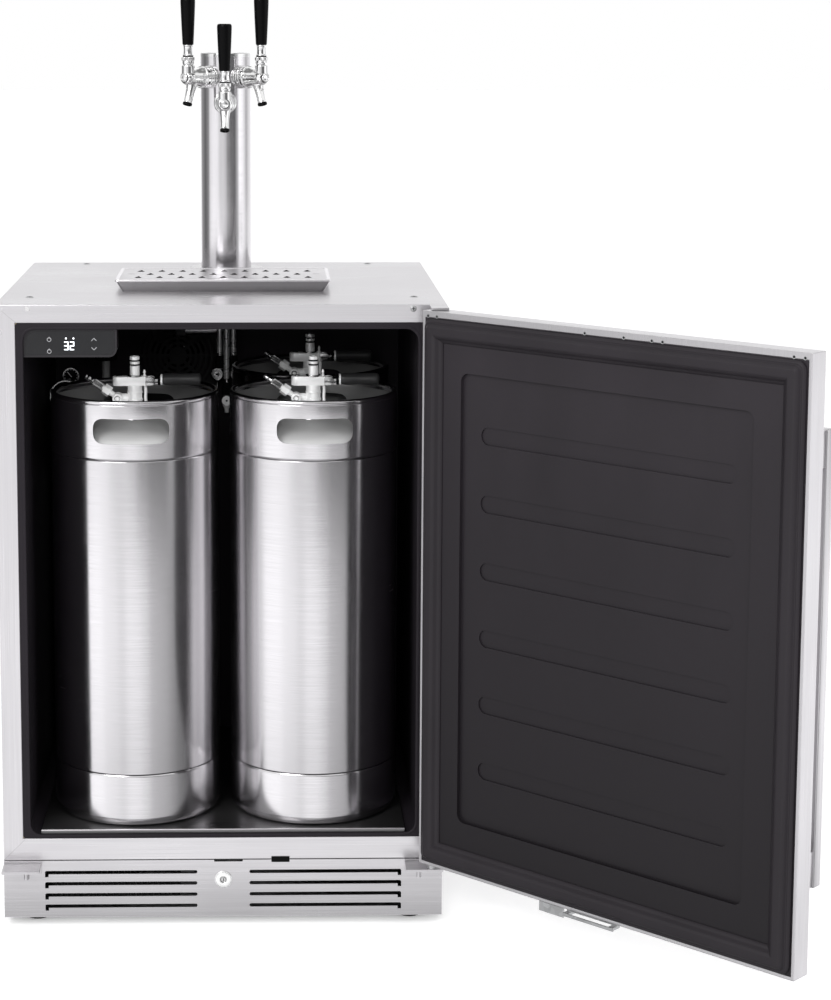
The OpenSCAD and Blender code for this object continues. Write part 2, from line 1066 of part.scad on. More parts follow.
// Room for the two hinge bushes
module bush_holes() {
    post(hinge_x, hinge_y, bush_r + eps, door_z0 - 5, door_z0 + 16);
    post(hinge_x, hinge_y, bush_r + eps, door_z1 - 21, door_z1 + 5);
}

module door_skin() {
    t = 1.2;
    color("gainsboro")
        door_pose()
            difference() {
                slab([-door_half, door_out, door_z0], [door_half, door_in, door_z1]);
                slab([-door_half + t, door_out + t, door_z0 + t], [door_half - t, door_in - t, door_z1 - t]);
                slab([-door_half + rim_side, door_in - 5, door_z0 + rim_side],
                    [door_half - rim_side, door_in + 5, door_z1 - rim_top]);
                post(hinge_x, hinge_y, bush_r + eps, door_z0 - 5, door_z0 + 5);
                post(hinge_x, hinge_y, bush_r + eps, door_z1 - 5, door_z1 + 5);
            }
}

module door_foam() {
    t = 1.2;
    color("wheat")
        door_pose()
            difference() {
                slab([-door_half + t, door_out + t, door_z0 + t], [door_half - t, liner_back, door_z1 - t]);
                bush_holes();
            }
}

// Moulded liner with a recessed field and six shallow grooves
module door_liner() {
    clear = rim_side + 0.1;
    field_x0 = -221.5;
    field_x1 = 231;
    groove_x = 2;
    groove_w = 397;
    groove_h = 24;
    groove_pitch = 90.5;
    color("dimgray")
        door_pose()
            difference() {
                slab([-door_half + clear, liner_back, door_z0 + clear],
                    [door_half - clear, door_in, door_z1 - rim_top - 0.1]);
                along_y(door_in - 6, door_in + 5)
                    round_rect(field_x0, door_z0 + 73.5, field_x1, door_z1 - 77, 12);
                along_y(door_in - 8.5, door_in + 5)
                    for (i = [0:5])
                        translate([groove_x, door_z1 - 157.5 - i * groove_pitch])
                            stadium(groove_w, groove_h);
                bush_holes();
            }
}

// Soft seal: a wide foot and a narrower bulb that meets the face frame
module door_gasket() {
    z0 = door_z0 + rim_side + 1;
    z1 = door_z1 - rim_top - 1;
    x = door_half - rim_side - 1;
    color("black")
        door_pose()
            difference() {
                union() {
                    along_y(door_in, door_in + 6)
                        round_rect(-x, z0, x, z1, 14);
                    along_y(door_in + 5, front - 0.4)
                        round_rect(-x + 9, z0 + 9, x - 9, z1 - 5, 12);
                }
                along_y(door_in - 1, door_in + 7)
                    round_rect(-x + 32, z0 + 32, x - 32, z1 - 28, 10);
                along_y(door_in + 4, front + 1)
                    round_rect(-x + 26, z0 + 26, x - 26, z1 - 22, 10);
            }
}

// Square bar on two end standoffs
module door_handle() {
    x0 = -273;
    x1 = -253;
    z0 = 190.5;
    z1 = 761;
    reach = 49;
    foot_h = 48;
    color("gainsboro")
        door_pose() {
            slab([x0, door_out - reach - 16, z0], [x1, door_out - reach, z1]);
            slab([x0 + 2, door_out - reach, z0], [x1 - 2, door_out, z0 + foot_h]);
            slab([x0 + 2, door_out - reach, z1 - foot_h], [x1 - 2, door_out, z1]);
        }
}

// Strike loop and magnet plate under the door, and the two hinge bushes
module door_fittings() {
    x0 = -37;
    x1 = 43;
    color("silver")
        door_pose() {
            union() {
                slab([x0, door_in - 14, door_z0 - 1.5], [x1, door_in, door_z0]);
                for (x = [x0, x1 - 8])
                    slab([x, door_in - 6, door_z0 - 5], [x + 8, door_in + 9.5, door_z0 - 1.4]);
                slab([x0, door_in + 7, door_z0 - 6], [x1, door_in + 9.5, door_z0 - 2]);
            }
            slab([x1 + 6, door_in - 2, door_z0 - 13], [x1 + 46, door_in, door_z0]);
            for (z = [[door_z0, door_z0 + 15], [door_z1 - 20, door_z1]])
                difference() {
                    post(hinge_x, hinge_y, bush_r, z[0], z[1]);
                    post(hinge_x, hinge_y, pin_r + eps, z[0] - 1, z[1] + 1);
                }
        }
}

top_panel();
side_panels();
back_panel();
base_pan();
face_frame();
insulation_foam();
inner_liner();
keg_floor_plate();
toe_grille();
cabinet_screws();
levelling_feet();
hinge_brackets();
hinge_pins();
lock_body();
lock_cylinder();
door_sensor();
control_panel();
control_screen();
tower_tube();
tower_flange();
tower_cap();
tap_shanks();
tap_bodies();
tap_lever_left();
tap_lever_centre();
tap_lever_right();
tap_handle_left();
tap_handle_centre();
tap_handle_right();
beer_lines();
tower_duct();
evaporator_cover();
evaporator_coil();
evaporator_fan();
compressor();
condenser_coil();
condenser_fan();
gas_cylinder();
gas_regulator();
gas_valve_wheel();
keg_front_left();
keg_front_right();
keg_rear_right();
coupler_front_left();
coupler_front_right();
coupler_rear_right();
coupler_lever_front_left();
coupler_lever_front_right();
coupler_lever_rear_right();
coupler_probe_front_left();
coupler_probe_front_right();
coupler_probe_rear_right();
drip_tray();
drip_grille();
door_skin();
door_foam();
door_liner();
door_gasket();
door_handle();
door_fittings();
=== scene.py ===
import json
import math

import bmesh
import bpy
from mathutils import Matrix, Vector

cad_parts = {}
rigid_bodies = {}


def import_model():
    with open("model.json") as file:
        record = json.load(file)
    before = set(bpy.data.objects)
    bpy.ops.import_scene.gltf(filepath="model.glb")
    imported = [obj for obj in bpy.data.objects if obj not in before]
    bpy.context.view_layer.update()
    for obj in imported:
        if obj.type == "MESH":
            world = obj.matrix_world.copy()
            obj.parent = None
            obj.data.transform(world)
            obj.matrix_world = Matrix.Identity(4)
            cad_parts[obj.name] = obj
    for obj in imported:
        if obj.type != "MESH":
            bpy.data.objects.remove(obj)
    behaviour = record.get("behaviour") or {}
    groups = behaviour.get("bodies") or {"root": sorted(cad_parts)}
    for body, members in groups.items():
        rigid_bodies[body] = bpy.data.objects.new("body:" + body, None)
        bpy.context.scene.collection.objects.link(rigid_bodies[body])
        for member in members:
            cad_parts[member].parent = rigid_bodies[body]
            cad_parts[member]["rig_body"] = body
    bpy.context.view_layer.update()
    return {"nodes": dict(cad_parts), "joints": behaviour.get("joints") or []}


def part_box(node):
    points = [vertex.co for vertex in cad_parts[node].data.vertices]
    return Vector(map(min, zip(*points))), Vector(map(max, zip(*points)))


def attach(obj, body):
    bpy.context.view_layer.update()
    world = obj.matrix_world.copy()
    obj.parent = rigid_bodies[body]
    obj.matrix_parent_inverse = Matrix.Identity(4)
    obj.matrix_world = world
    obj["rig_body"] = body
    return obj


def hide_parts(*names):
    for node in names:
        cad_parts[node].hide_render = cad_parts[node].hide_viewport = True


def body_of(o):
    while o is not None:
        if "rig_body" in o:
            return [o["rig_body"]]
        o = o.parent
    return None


# Looks of a three-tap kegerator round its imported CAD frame.
# Builders take millimetres in a piece's own frame; matrices and boxes are in metres.

MM = 0.001
SHARP = math.radians(38)

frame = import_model()
scene = bpy.context.scene
joints = {joint["name"]: joint for joint in frame["joints"]}


# ---- places

def box_mm(node):
    """Lowest and highest corners of a CAD node, in millimetres."""
    lo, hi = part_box(node)
    return lo / MM, hi / MM


def middle_mm(node):
    lo, hi = box_mm(node)
    return (lo + hi) / 2


def seated(node):
    """Matrix to the middle of a CAD node's foot, and the node's width, depth and height."""
    lo, hi = box_mm(node)
    return Matrix.Translation(Vector(((lo.x + hi.x) / 2, (lo.y + hi.y) / 2, lo.z)) * MM), hi - lo


def local_box_mm(node, at):
    """Corners of a CAD node in the frame that the matrix at places, in millimetres."""
    back = at.inverted()
    points = [back @ vertex.co for vertex in frame["nodes"][node].data.vertices]
    lo = Vector([min(p[i] for p in points) for i in range(3)])
    hi = Vector([max(p[i] for p in points) for i in range(3)])
    return lo / MM, hi / MM


CABINET = Matrix.Identity(4)
UPRIGHT = Matrix.Rotation(math.pi / 2, 4, "X")
FRONT = box_mm("face_frame")[0].y
HALF_W = box_mm("face_frame")[1].x
TOP = box_mm("top_panel")[1].z


def door_frame():
    """Matrix from the closed door's coordinates to where the door stands."""
    hinge = joints["door_hinge"]
    pivot = Vector((hinge["pos_m"][0], hinge["pos_m"][1], 0))
    opened = math.radians(-min(hinge["range_deg"]))
    return Matrix.Translation(pivot) @ Matrix.Rotation(opened, 4, "Z") @ Matrix.Translation(-pivot)


DOOR = door_frame()
TAP_REACH = 88
TAP_RISE = 22


def tap_frame(name):
    """Tap coordinates: -Y points out of the tower, Z counts from the shank's axis."""
    joint = joints[f"tap_{name}_tilt"]
    across = Vector(joint["axis"]).normalized()
    up = Vector((0, 0, 1))
    inward = up.cross(across)
    origin = Vector(joint["pos_m"]) + inward * TAP_REACH * MM - up * TAP_RISE * MM
    turn = Matrix((across, inward, up)).transposed().to_4x4()
    return Matrix.Translation(origin) @ turn


LEVER_X = 23
LEVER_Z = 744


def coupler_frame(name):
    """Coupler coordinates: Z is the keg's axis and counts from the floor."""
    pivot = Vector(joints[f"coupler_{name}_lever"]["pos_m"])
    return Matrix.Translation(pivot - Vector((LEVER_X, 0, LEVER_Z)) * MM)


# ---- camera

def make_camera():
    """The photograph's viewpoint, with as much of its lens shift as the other views can carry."""
    data = bpy.data.cameras.new("camera")
    data.lens = 85.9
    data.sensor_width = 36
    data.shift_x = 0.1
    data.shift_y = -0.145
    data.dof.use_dof = False
    camera = bpy.data.objects.new("camera", data)
    scene.collection.objects.link(camera)
    yaw, pitch, roll = -0.0209, -0.1393, 0.0011
    tilt = Matrix.Rotation(math.pi / 2 + pitch, 4, "X")
    turn = Matrix.Rotation(yaw, 4, "Z") @ tilt @ Matrix.Rotation(roll, 4, "Z")
    camera.matrix_world = Matrix.Translation((0.0604, -3.456, 1.2439)) @ turn
    scene.camera = camera


make_camera()


# ---- node helpers

class Nodes:
    """Short calls that add and link the nodes of one tree."""

    def __init__(self, tree):
        self.nodes = tree.nodes
        self.links = tree.links

    def put(self, socket, value):
        if isinstance(value, bpy.types.NodeSocket):
            self.links.new(value, socket)
        else:
            socket.default_value = value

    def add(self, kind, inputs=(), **settings):
        node = self.nodes.new("ShaderNode" + kind)
        for key, value in settings.items():
            setattr(node, key, value)
        for key, value in dict(inputs).items():
            self.put(node.inputs[key], value)
        return node

    def math(self, operation, a, b=0.0, clamp=False):
        return self.add("Math", {0: a, 1: b}, operation=operation, use_clamp=clamp).outputs[0]

    def range(self, value, low, high, to_low=0.0, to_high=1.0, **settings):
        inputs = {"Value": value, "From Min": low, "From Max": high, "To Min": to_low, "To Max": to_high}
        return self.add("MapRange", inputs, **settings).outputs[0]

    def mix(self, factor, a, b):
        node = self.add("Mix", data_type="RGBA")
        for number, value in ((0, factor), (6, a), (7, b)):
            self.put(node.inputs[number], value)
        return node.outputs[2]


class Finish(Nodes):
    """A material under construction round its Principled shader."""

    def __init__(self, name, **settings):
        self.material = bpy.data.materials.new(name)
        self.material.use_nodes = True
        super().__init__(self.material.node_tree)
        self.shader = self.nodes["Principled BSDF"]
        for key, value in settings.items():
            self.set(key.replace("_", " "), value)

    def set(self, key, value):
        self.put(self.shader.inputs[key], value)

    def place(self):
        return self.add("TexCoord").outputs["Object"]

    def stretched(self, scale, vector):
        return self.add("Mapping", {"Vector": vector, "Scale": scale}).outputs[0]

    def noise(self, vector, scale, detail=3.0, roughness=0.55):
        inputs = {"Vector": vector, "Scale": scale, "Detail": detail, "Roughness": roughness}
        return self.add("TexNoise", inputs).outputs["Fac"]

    def bump(self, height, strength, depth):
        inputs = {"Height": height, "Strength": strength, "Distance": depth}
        self.set("Normal", self.add("Bump", inputs).outputs[0])

    def edges(self, radius, gain):
        """0 on flat faces, up to 1 along edges: the mask for edge wear and for a painted highlight along
        edges.
        """
        rounded = self.add("Bevel", {"Radius": radius}, samples=4).outputs[0]
        flat = self.add("NewGeometry").outputs["Normal"]
        dot = self.add("VectorMath", {0: rounded, 1: flat}, operation="DOT_PRODUCT").outputs["Value"]
        return self.math("MULTIPLY", self.math("SUBTRACT", 1.0, dot), gain, clamp=True)

    def fade(self, colour, place, heights, most, dark):
        """Goes from colour at the upper height to a share most of dark at the lower one."""
        height = self.add("SeparateXYZ", {0: place}).outputs[2]
        return self.mix(self.range(height, heights[0] * MM, heights[1] * MM, most, 0.0), colour, dark)


def grey(value, warm=0.0):
    return (value * (1 + warm), value, value * (1 - warm), 1)


# ---- materials

def sheet_grey(value):
    """Stainless grey with a faint violet tint: a painted reflection of a studio's white cards."""
    return (value * 1.01, value * 0.99, value * 1.016, 1)


def brushed_steel(name, grain, tone=0.62, gloss=0.3, centre=None, fade=None):
    """Stainless sheet. grain is X or Z for flat sheets, ring round the axis at centre, or mitred.

    fade holds two heights and a brightness: painted shade darkens the sheet downwards between them, standing
    for the floor's shade that a low sheet reflects.
    """
    finish = Finish(name, Metallic=1.0)
    place = finish.place()

    def streaks(scale, vector):
        return finish.noise(finish.stretched(scale, vector), 1.0, 4.0, 0.7)

    across = {"X": (5, 1100, 1100), "Z": (1100, 1100, 5)}
    if grain == "ring":
        offset = finish.add("VectorMath", {0: place, 1: centre}, operation="SUBTRACT").outputs[0]
        split = finish.add("SeparateXYZ", {0: offset}).outputs
        angle = finish.math("ARCTAN2", split[1], split[0])
        around = finish.add("CombineXYZ", {0: angle, 1: split[2], 2: 0.0}).outputs[0]
        lines = streaks((1.6, 1500, 1), around)
        finish.set("Tangent", finish.add("CombineXYZ", {2: 1.0}).outputs[0])
    elif grain == "mitred":
        split = finish.add("SeparateXYZ", {0: place}).outputs
        side = finish.math("SUBTRACT", HALF_W * MM, finish.math("ABSOLUTE", split[0]))
        lo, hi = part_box("face_frame")
        low = finish.math("SUBTRACT", split[2], lo.z)
        high = finish.math("SUBTRACT", hi.z, split[2])
        rail = finish.math("MINIMUM", low, finish.math("MULTIPLY", high, 1.2))
        lead = finish.math("SUBTRACT", rail, side)
        upright = finish.math("GREATER_THAN", lead, 0.0)
        flat_lines = streaks(across["X"], place)
        tall_lines = streaks(across["Z"], place)
        lines = finish.add("Mix", {0: upright, 2: flat_lines, 3: tall_lines}).outputs[0]
    else:
        lines = streaks(across[grain], place)
        tangent = {"X": {1: 0.7, 2: 0.7}, "Z": {0: 0.7, 1: 0.7}}[grain]
        finish.set("Tangent", finish.add("CombineXYZ", tangent).outputs[0])
    clouds = finish.noise(place, 6.0, 4.0)
    # Paler edges: edge wear, and a painted highlight where a rounded edge would catch the light.
    wear_and_edge_highlight = finish.edges(0.0007, 5.0)
    soft = finish.mix(clouds, sheet_grey(tone * 0.94), sheet_grey(tone * 1.05))
    lined = finish.mix(finish.range(lines, 0.3, 0.75, 0.0, 0.4), soft, sheet_grey(tone * 0.72))
    if grain == "mitred":
        seam = finish.math("LESS_THAN", finish.math("ABSOLUTE", lead), 0.0003)
        lined = finish.mix(finish.math("MULTIPLY", seam, 0.55), lined, grey(tone * 0.3))
    # Painted shade: darker towards the floor, for the shade near the floor that the sheet reflects.
    if fade:
        lined = finish.fade(lined, place, fade, 1 - fade[2], grey(tone * 0.1))
    finish.set("Base Color", finish.mix(wear_and_edge_highlight, lined, sheet_grey(min(0.93, tone * 1.3))))
    rough = finish.range(lines, 0.25, 0.8, gloss - 0.06, gloss + 0.08)
    finish.set("Roughness", finish.math("ADD", rough, finish.range(clouds, 0.3, 0.7, -0.03, 0.04)))
    finish.set("Anisotropic", 0.55 if grain != "mitred" else 0.0)
    finish.bump(lines, 0.12, 0.0002)
    return finish.material


def polished(name, tone=0.78, gloss=0.07, metal=1.0):
    """Chrome or polished steel, smeared and finely pitted; a lower metal share gives a satin casting."""
    finish = Finish(name, Metallic=metal)
    place = finish.place()
    smears = finish.noise(finish.stretched((30, 30, 90), place), 1.0, 5.0, 0.6)
    pits = finish.noise(place, 900.0, 2.0)
    # Paler edges: edge wear, and a painted highlight where a rounded edge would catch the light.
    wear_and_edge_highlight = finish.edges(0.0004, 4.0)
    base = finish.mix(smears, grey(tone * 0.9), grey(tone * 1.06))
    finish.set("Base Color", finish.mix(wear_and_edge_highlight, base, grey(0.92)))
    finish.set("Roughness", finish.range(smears, 0.3, 0.7, gloss, gloss + 0.09))
    finish.bump(pits, 0.04, 0.0001)
    return finish.material


def moulded(name, colour, gloss=0.45, grain=1400.0, relief=0.12, wear=0.35, shine=0.3, fade=None):
    """Moulded plastic: fine texture, faint flow marks, paler edges for rubbing wear and a painted highlight.

    fade holds two heights and a share: the plastic is that much of its colour at the lower one.
    """
    finish = Finish(name, Specular_IOR_Level=shine)
    place = finish.place()
    skin = finish.noise(place, grain, 2.0)
    flow = finish.noise(finish.stretched((7, 7, 3), place), 1.0, 5.0)
    # Paler edges: rubbing wear, and a painted highlight where a rounded edge would catch the light.
    wear_and_edge_highlight = finish.edges(0.0008, 3.0)
    dark = tuple(c * 0.86 for c in colour) + (1,)
    pale = tuple(c * 1.16 for c in colour) + (1,)
    rubbed_and_lit = tuple(min(1.0, c * 2.2 + 0.015) for c in colour) + (1,)
    base = finish.mix(finish.range(flow, 0.3, 0.7, 0.0, 1.0), dark, pale)
    if fade:
        base = finish.fade(base, place, fade, 1.0, tuple(c * fade[2] for c in colour) + (1,))
    finish.set("Base Color", finish.mix(finish.math("MULTIPLY", wear_and_edge_highlight, wear), base, rubbed_and_lit))
    rough = finish.range(flow, 0.3, 0.7, gloss - 0.05, gloss + 0.07)
    finish.set("Roughness", finish.math("ADD", rough, finish.range(skin, 0.3, 0.7, -0.02, 0.03)))
    finish.bump(skin, relief, 0.0002)
    return finish.material


def spangled(name):
    """Hot-dip galvanised sheet: flat crystal patches of differing brightness."""
    finish = Finish(name, Metallic=1.0)
    place = finish.place()
    crystal = finish.add("TexVoronoi", {"Vector": place, "Scale": 130.0}).outputs["Color"]
    value = finish.add("SeparateColor", {0: crystal}).outputs[0]
    clouds = finish.noise(place, 9.0, 4.0)
    base = finish.mix(value, grey(0.42, -0.01), grey(0.6, -0.01))
    finish.set("Base Color", finish.mix(finish.range(clouds, 0.4, 0.8, 0.0, 0.4), base, grey(0.36)))
    finish.set("Roughness", finish.range(value, 0.0, 1.0, 0.38, 0.52))
    finish.bump(value, 0.05, 0.0002)
    return finish.material


def foamed(name):
    """Cut polyurethane foam: pale yellow, pitted with cells."""
    finish = Finish(name, Roughness=0.95)
    place = finish.place()
    cells = finish.add("TexVoronoi", {"Vector": place, "Scale": 700.0}).outputs["Distance"]
    clouds = finish.noise(place, 14.0, 4.0)
    finish.set("Base Color", finish.mix(clouds, (0.62, 0.52, 0.33, 1), (0.75, 0.66, 0.45, 1)))
    finish.bump(cells, 0.5, 0.0006)
    return finish.material


def brass_metal(name):
    finish = Finish(name, Metallic=1.0)
    place = finish.place()
    clouds = finish.noise(place, 60.0, 4.0)
    turned_lines = finish.noise(finish.stretched((1, 1, 2500), place), 1.0, 2.0)
    finish.set("Base Color", finish.mix(clouds, (0.62, 0.44, 0.2, 1), (0.74, 0.56, 0.28, 1)))
    finish.set("Roughness", finish.range(clouds, 0.3, 0.7, 0.2, 0.38))
    finish.bump(turned_lines, 0.08, 0.0001)
    return finish.material


def lit(name, colour, power):
    """Marks that glow: lit display marks, and printed marks given a painted glow; a faint unevenness keeps
    them from being flat.
    """
    finish = Finish(name, Roughness=0.4)
    place = finish.place()
    patches = finish.noise(place, 500.0, 3.0)
    shade = finish.mix(patches, tuple(c * 0.9 for c in colour) + (1,), colour + (1,))
    finish.set("Base Color", shade)
    finish.set("Emission Color", shade)
    finish.set("Emission Strength", finish.range(patches, 0.3, 0.7, power * 0.9, power))
    return finish.material


STEEL_X = brushed_steel("steel_across", "X", tone=0.6)
STEEL_Z = brushed_steel("steel_upright", "Z", tone=0.6)
STEEL_FRAME = brushed_steel("steel_mitred", "mitred", tone=0.7)
# The louvred toe grille carries painted shade towards the floor.
STEEL_GRILLE = brushed_steel("steel_louvred", "X", tone=0.69, fade=(15, 95, 0.62))
# Painted shade: a darker copy of the steel for the drip tray's walls.
STEEL_SHADED = brushed_steel("steel_shaded", "X", tone=0.36, gloss=0.32)
# Painted shade: a much darker copy of the steel for the keg bay's floor plate, which lies in the bay's shade.
STEEL_PLATE_SHADED = brushed_steel("steel_bay_plate_shaded", "X", tone=0.2, gloss=0.3)
CHROME = polished("chrome")
# Painted shade: a darker copy of chrome for bright parts that sit in shade.
CHROME_SHADED = polished("chrome_shaded", tone=0.55, gloss=0.16)
LINER = moulded("liner_plastic", (0.0145, 0.0132, 0.0152), gloss=0.42)
DOOR_LINER = moulded("door_plastic", (0.0158, 0.0134, 0.0162), gloss=0.42, shine=0.22,
                     fade=(150, 800, 0.55))
BAY_LINER = moulded("bay_plastic", (0.0125, 0.0105, 0.0132), gloss=0.45, shine=0.14)
BLACK = moulded("black_plastic", (0.002, 0.002, 0.0022), 0.2, 700, relief=0.03, wear=0.1, shine=0.06)
GRIP = moulded("grip_rubber", (0.016, 0.016, 0.0165), 0.3, 900, relief=0.08, wear=0.5, shine=0.5)
RUBBER = moulded("rubber", (0.008, 0.008, 0.0085), 0.6, 2200, relief=0.25, wear=0.15, shine=0.2)
GASKET = moulded("gasket_vinyl", (0.0146, 0.0124, 0.015), 0.5, 1800, relief=0.1, wear=0.2, shine=0.22)
PAINT = moulded("black_paint", (0.01, 0.01, 0.011), gloss=0.32, grain=260, relief=0.18, wear=0.6)
GLASS = moulded("display_glass", (0.006, 0.006, 0.007), gloss=0.12, grain=80, relief=0.01, wear=0.2)
HOSE = polished("braided_hose", tone=0.62, gloss=0.24, metal=0.7)
WHITE_MARK = lit("lit_marks", (0.95, 0.97, 1.0), 0.9)
WHITE_PLUG = moulded("pale_plug", (0.42, 0.415, 0.42), gloss=0.35, grain=900, relief=0.05, wear=0.2)
# The dim marks glow faintly: on the gauge dials, which have no lamp, this is a painted glow.
DIM_MARK = lit("dim_marks", (0.28, 0.28, 0.29), 0.25)
# Painted highlight: a paler copy of the steel for the drip tray's rolled rim.
LIP_PAINTED_HIGHLIGHT = brushed_steel("steel_lip_painted_highlight", "X", tone=0.78, gloss=0.26)
SATIN = polished("satin_steel", tone=0.94, gloss=0.28, metal=0.35)
KEG_INSIDE = polished("keg_inside", tone=0.66, gloss=0.42, metal=0.4)
# Painted shade: a darker copy of the keg's steel for the inside of the top chime.
KEG_WALL_SHADED = polished("keg_wall", tone=0.3, gloss=0.3, metal=0.75)
LOCK_STEEL = polished("lock_steel", tone=0.84, gloss=0.24, metal=0.75)
VALVE = polished("valve_steel", tone=0.32, gloss=0.36, metal=0.5)
ALUMINIUM = brushed_steel("fin_aluminium", "Z", tone=0.7, gloss=0.38)
GALVANISED = spangled("galvanised")
FOAM = foamed("foam")
BRASS = brass_metal("brass")


# ---- solids

def fillet(points, radius, steps=3, closed=False):
    """Rounds the corners of a flat outline."""
    rounded = []
    count = len(points)
    for i, point in enumerate(points):
        corner = Vector(point)
        if not closed and i in (0, count - 1):
            rounded.append(corner)
            continue
        before = Vector(points[i - 1]) - corner
        after = Vector(points[(i + 1) % count]) - corner
        reach = min(radius, before.length * 0.45, after.length * 0.45)
        start = corner + before.normalized() * reach
        end = corner + after.normalized() * reach
        for k in range(steps + 1):
            t = k / steps
            rounded.append(start * (1 - t) ** 2 + corner * 2 * t * (1 - t) + end * t * t)
    return rounded


def skin(rings, closed_path=False):
    """Faces between rings of vertex numbers; a ring of one number is a pole."""
    faces = []
    pairs = list(zip(rings, rings[1:]))
    if closed_path:
        pairs.append((rings[-1], rings[0]))
    for lower, upper in pairs:
        count = max(len(lower), len(upper))
        for k in range(count):
            n = (k + 1) % count
            below = [lower[k % len(lower)], lower[n % len(lower)]]
            above = [upper[n % len(upper)], upper[k % len(upper)]]
            unique = list(dict.fromkeys(below + above))
            if len(unique) > 2:
                faces.append(unique)
    return faces


class Solid:
    """Vertices in millimetres, faces, and the material they share."""

    def __init__(self, vertices, faces, material):
        self.vertices = [Vector(v) for v in vertices]
        self.faces = faces
        self.material = material

    def moved(self, matrix):
        return Solid([matrix @ v for v in self.vertices], self.faces, self.material)


def towards(base, direction):
    """Matrix that puts a solid's Z on direction and its origin on base."""
    turn = Vector((0, 0, 1)).rotation_difference(Vector(direction).normalized())
    return Matrix.Translation(Vector(base)) @ turn.to_matrix().to_4x4()


def turned(profile, material, base=(0, 0, 0), axis=(0, 0, 1), radius=0.6, turns=48, flutes=(0, 0)):
    """A solid turned round axis from (radius, height) points; off the axis, they close on themselves."""
    hollow = profile[0][0] > 0.001
    vertices = []
    rings = []
    count, depth = flutes
    for r, z in fillet(profile, radius, closed=hollow):
        if r < 0.001:
            rings.append([len(vertices)])
            vertices.append((0, 0, z))
            continue
        rings.append(list(range(len(vertices), len(vertices) + turns)))
        for k in range(turns):
            angle = 2 * math.pi * k / turns
            reach = r - depth * (0.5 - 0.5 * math.cos(count * angle)) if count else r
            vertices.append((reach * math.cos(angle), reach * math.sin(angle), z))
    return Solid(vertices, skin(rings, hollow), material).moved(towards(base, axis))


def spun(parts, base=(0, 0, 0), axis=(0, 0, 1)):
    """Turned solids on one axis, each from a profile, a material and what else turned takes."""
    return [turned(profile, material, base, axis, *rest) for profile, material, *rest in parts]


def rod(radius, length, material, base=(0, 0, 0), axis=(0, 0, 1), edge=0.6, turns=32):
    profile = [(0, 0), (radius, 0), (radius, length), (0, length)]
    return turned(profile, material, base, axis, edge, turns)


def smooth_path(points, steps):
    """Points on a smooth curve through the given ones."""
    knots = [Vector(p) for p in points]
    knots = [2 * knots[0] - knots[1]] + knots + [2 * knots[-1] - knots[-2]]
    path = []
    for a, b, c, d in zip(knots, knots[1:], knots[2:], knots[3:]):
        for k in range(steps):
            t = k / steps
            path.append(0.5 * (2 * b + (c - a) * t + (2 * a - 5 * b + 4 * c - d) * t ** 2
                               + (3 * b - a - 3 * c + d) * t ** 3))
    path.append(knots[-2])
    return path


def tube(points, radius, material, steps=8, sides=20, ridge=0.0, ridge_every=2):
    """A round bar along a smooth curve; ridge swells every few rings, as on a corrugated hose."""
    path = smooth_path(points, steps)
    tangents = [(b - a).normalized() for a, b in zip(path, path[1:])]
    tangents.append(tangents[-1])
    normal = tangents[0].orthogonal().normalized()
    vertices = []
    rings = []
    for i, (point, tangent) in enumerate(zip(path, tangents)):
        normal = (normal - tangent * normal.dot(tangent)).normalized()
        binormal = tangent.cross(normal)
        reach = radius + (ridge if i % ridge_every == 0 else 0)
        rings.append(list(range(len(vertices), len(vertices) + sides)))
        for k in range(sides):
            angle = 2 * math.pi * k / sides
            vertices.append(point + normal * math.cos(angle) * reach + binormal * math.sin(angle) * reach)
    rings.insert(0, [len(vertices)])
    vertices.append(path[0])
    rings.append([len(vertices)])
    vertices.append(path[-1])
    return Solid(vertices, skin(rings), material)


def bevelled(bm, width, segments=3):
    sharp = [e for e in bm.edges if e.calc_face_angle(0) > math.radians(25)]
    bmesh.ops.bevel(bm, geom=sharp, offset=width, segments=segments, profile=0.5, affect="EDGES")


def from_bmesh(bm, material):
    bm.verts.index_update()
    vertices = [v.co.copy() for v in bm.verts]
    faces = [[v.index for v in f.verts] for f in bm.faces]
    bm.free()
    return Solid(vertices, faces, material)


def block(lo, hi, material, edge=1.0):
    """A box with rounded edges."""
    bm = bmesh.new()
    bmesh.ops.create_cube(bm, size=1)
    lo, hi = Vector(lo), Vector(hi)
    for v in bm.verts:
        v.co = Vector([(lo[i] + hi[i]) / 2 + v.co[i] * (hi[i] - lo[i]) for i in range(3)])
    bevelled(bm, min(edge, 0.45 * min(hi - lo)))
    return from_bmesh(bm, material)


def prism(outline, depth, material, edge=0.5, at=Matrix.Identity(4)):
    """A flat outline in X and Y raised along Z, with rounded edges."""
    bm = bmesh.new()
    face = bm.faces.new([bm.verts.new((p[0], p[1], 0)) for p in outline])
    grown = bmesh.ops.extrude_face_region(bm, geom=[face])
    raised = [item for item in grown["geom"] if isinstance(item, bmesh.types.BMVert)]
    bmesh.ops.translate(bm, verts=raised, vec=(0, 0, depth))
    bmesh.ops.recalc_face_normals(bm, faces=bm.faces)
    if edge:
        bevelled(bm, edge, 2)
    return from_bmesh(bm, material).moved(at)


def arc(x, y, radius, start, sweep, steps):
    """Points on part of a circle, from angles in degrees."""
    angles = [math.radians(start + sweep * k / steps) for k in range(steps + 1)]
    return [(x + radius * math.cos(a), y + radius * math.sin(a)) for a in angles]


def round_rectangle(x0, y0, x1, y1, radius, steps=6):
    return fillet([(x0, y0), (x1, y0), (x1, y1), (x0, y1)], radius, steps, closed=True)


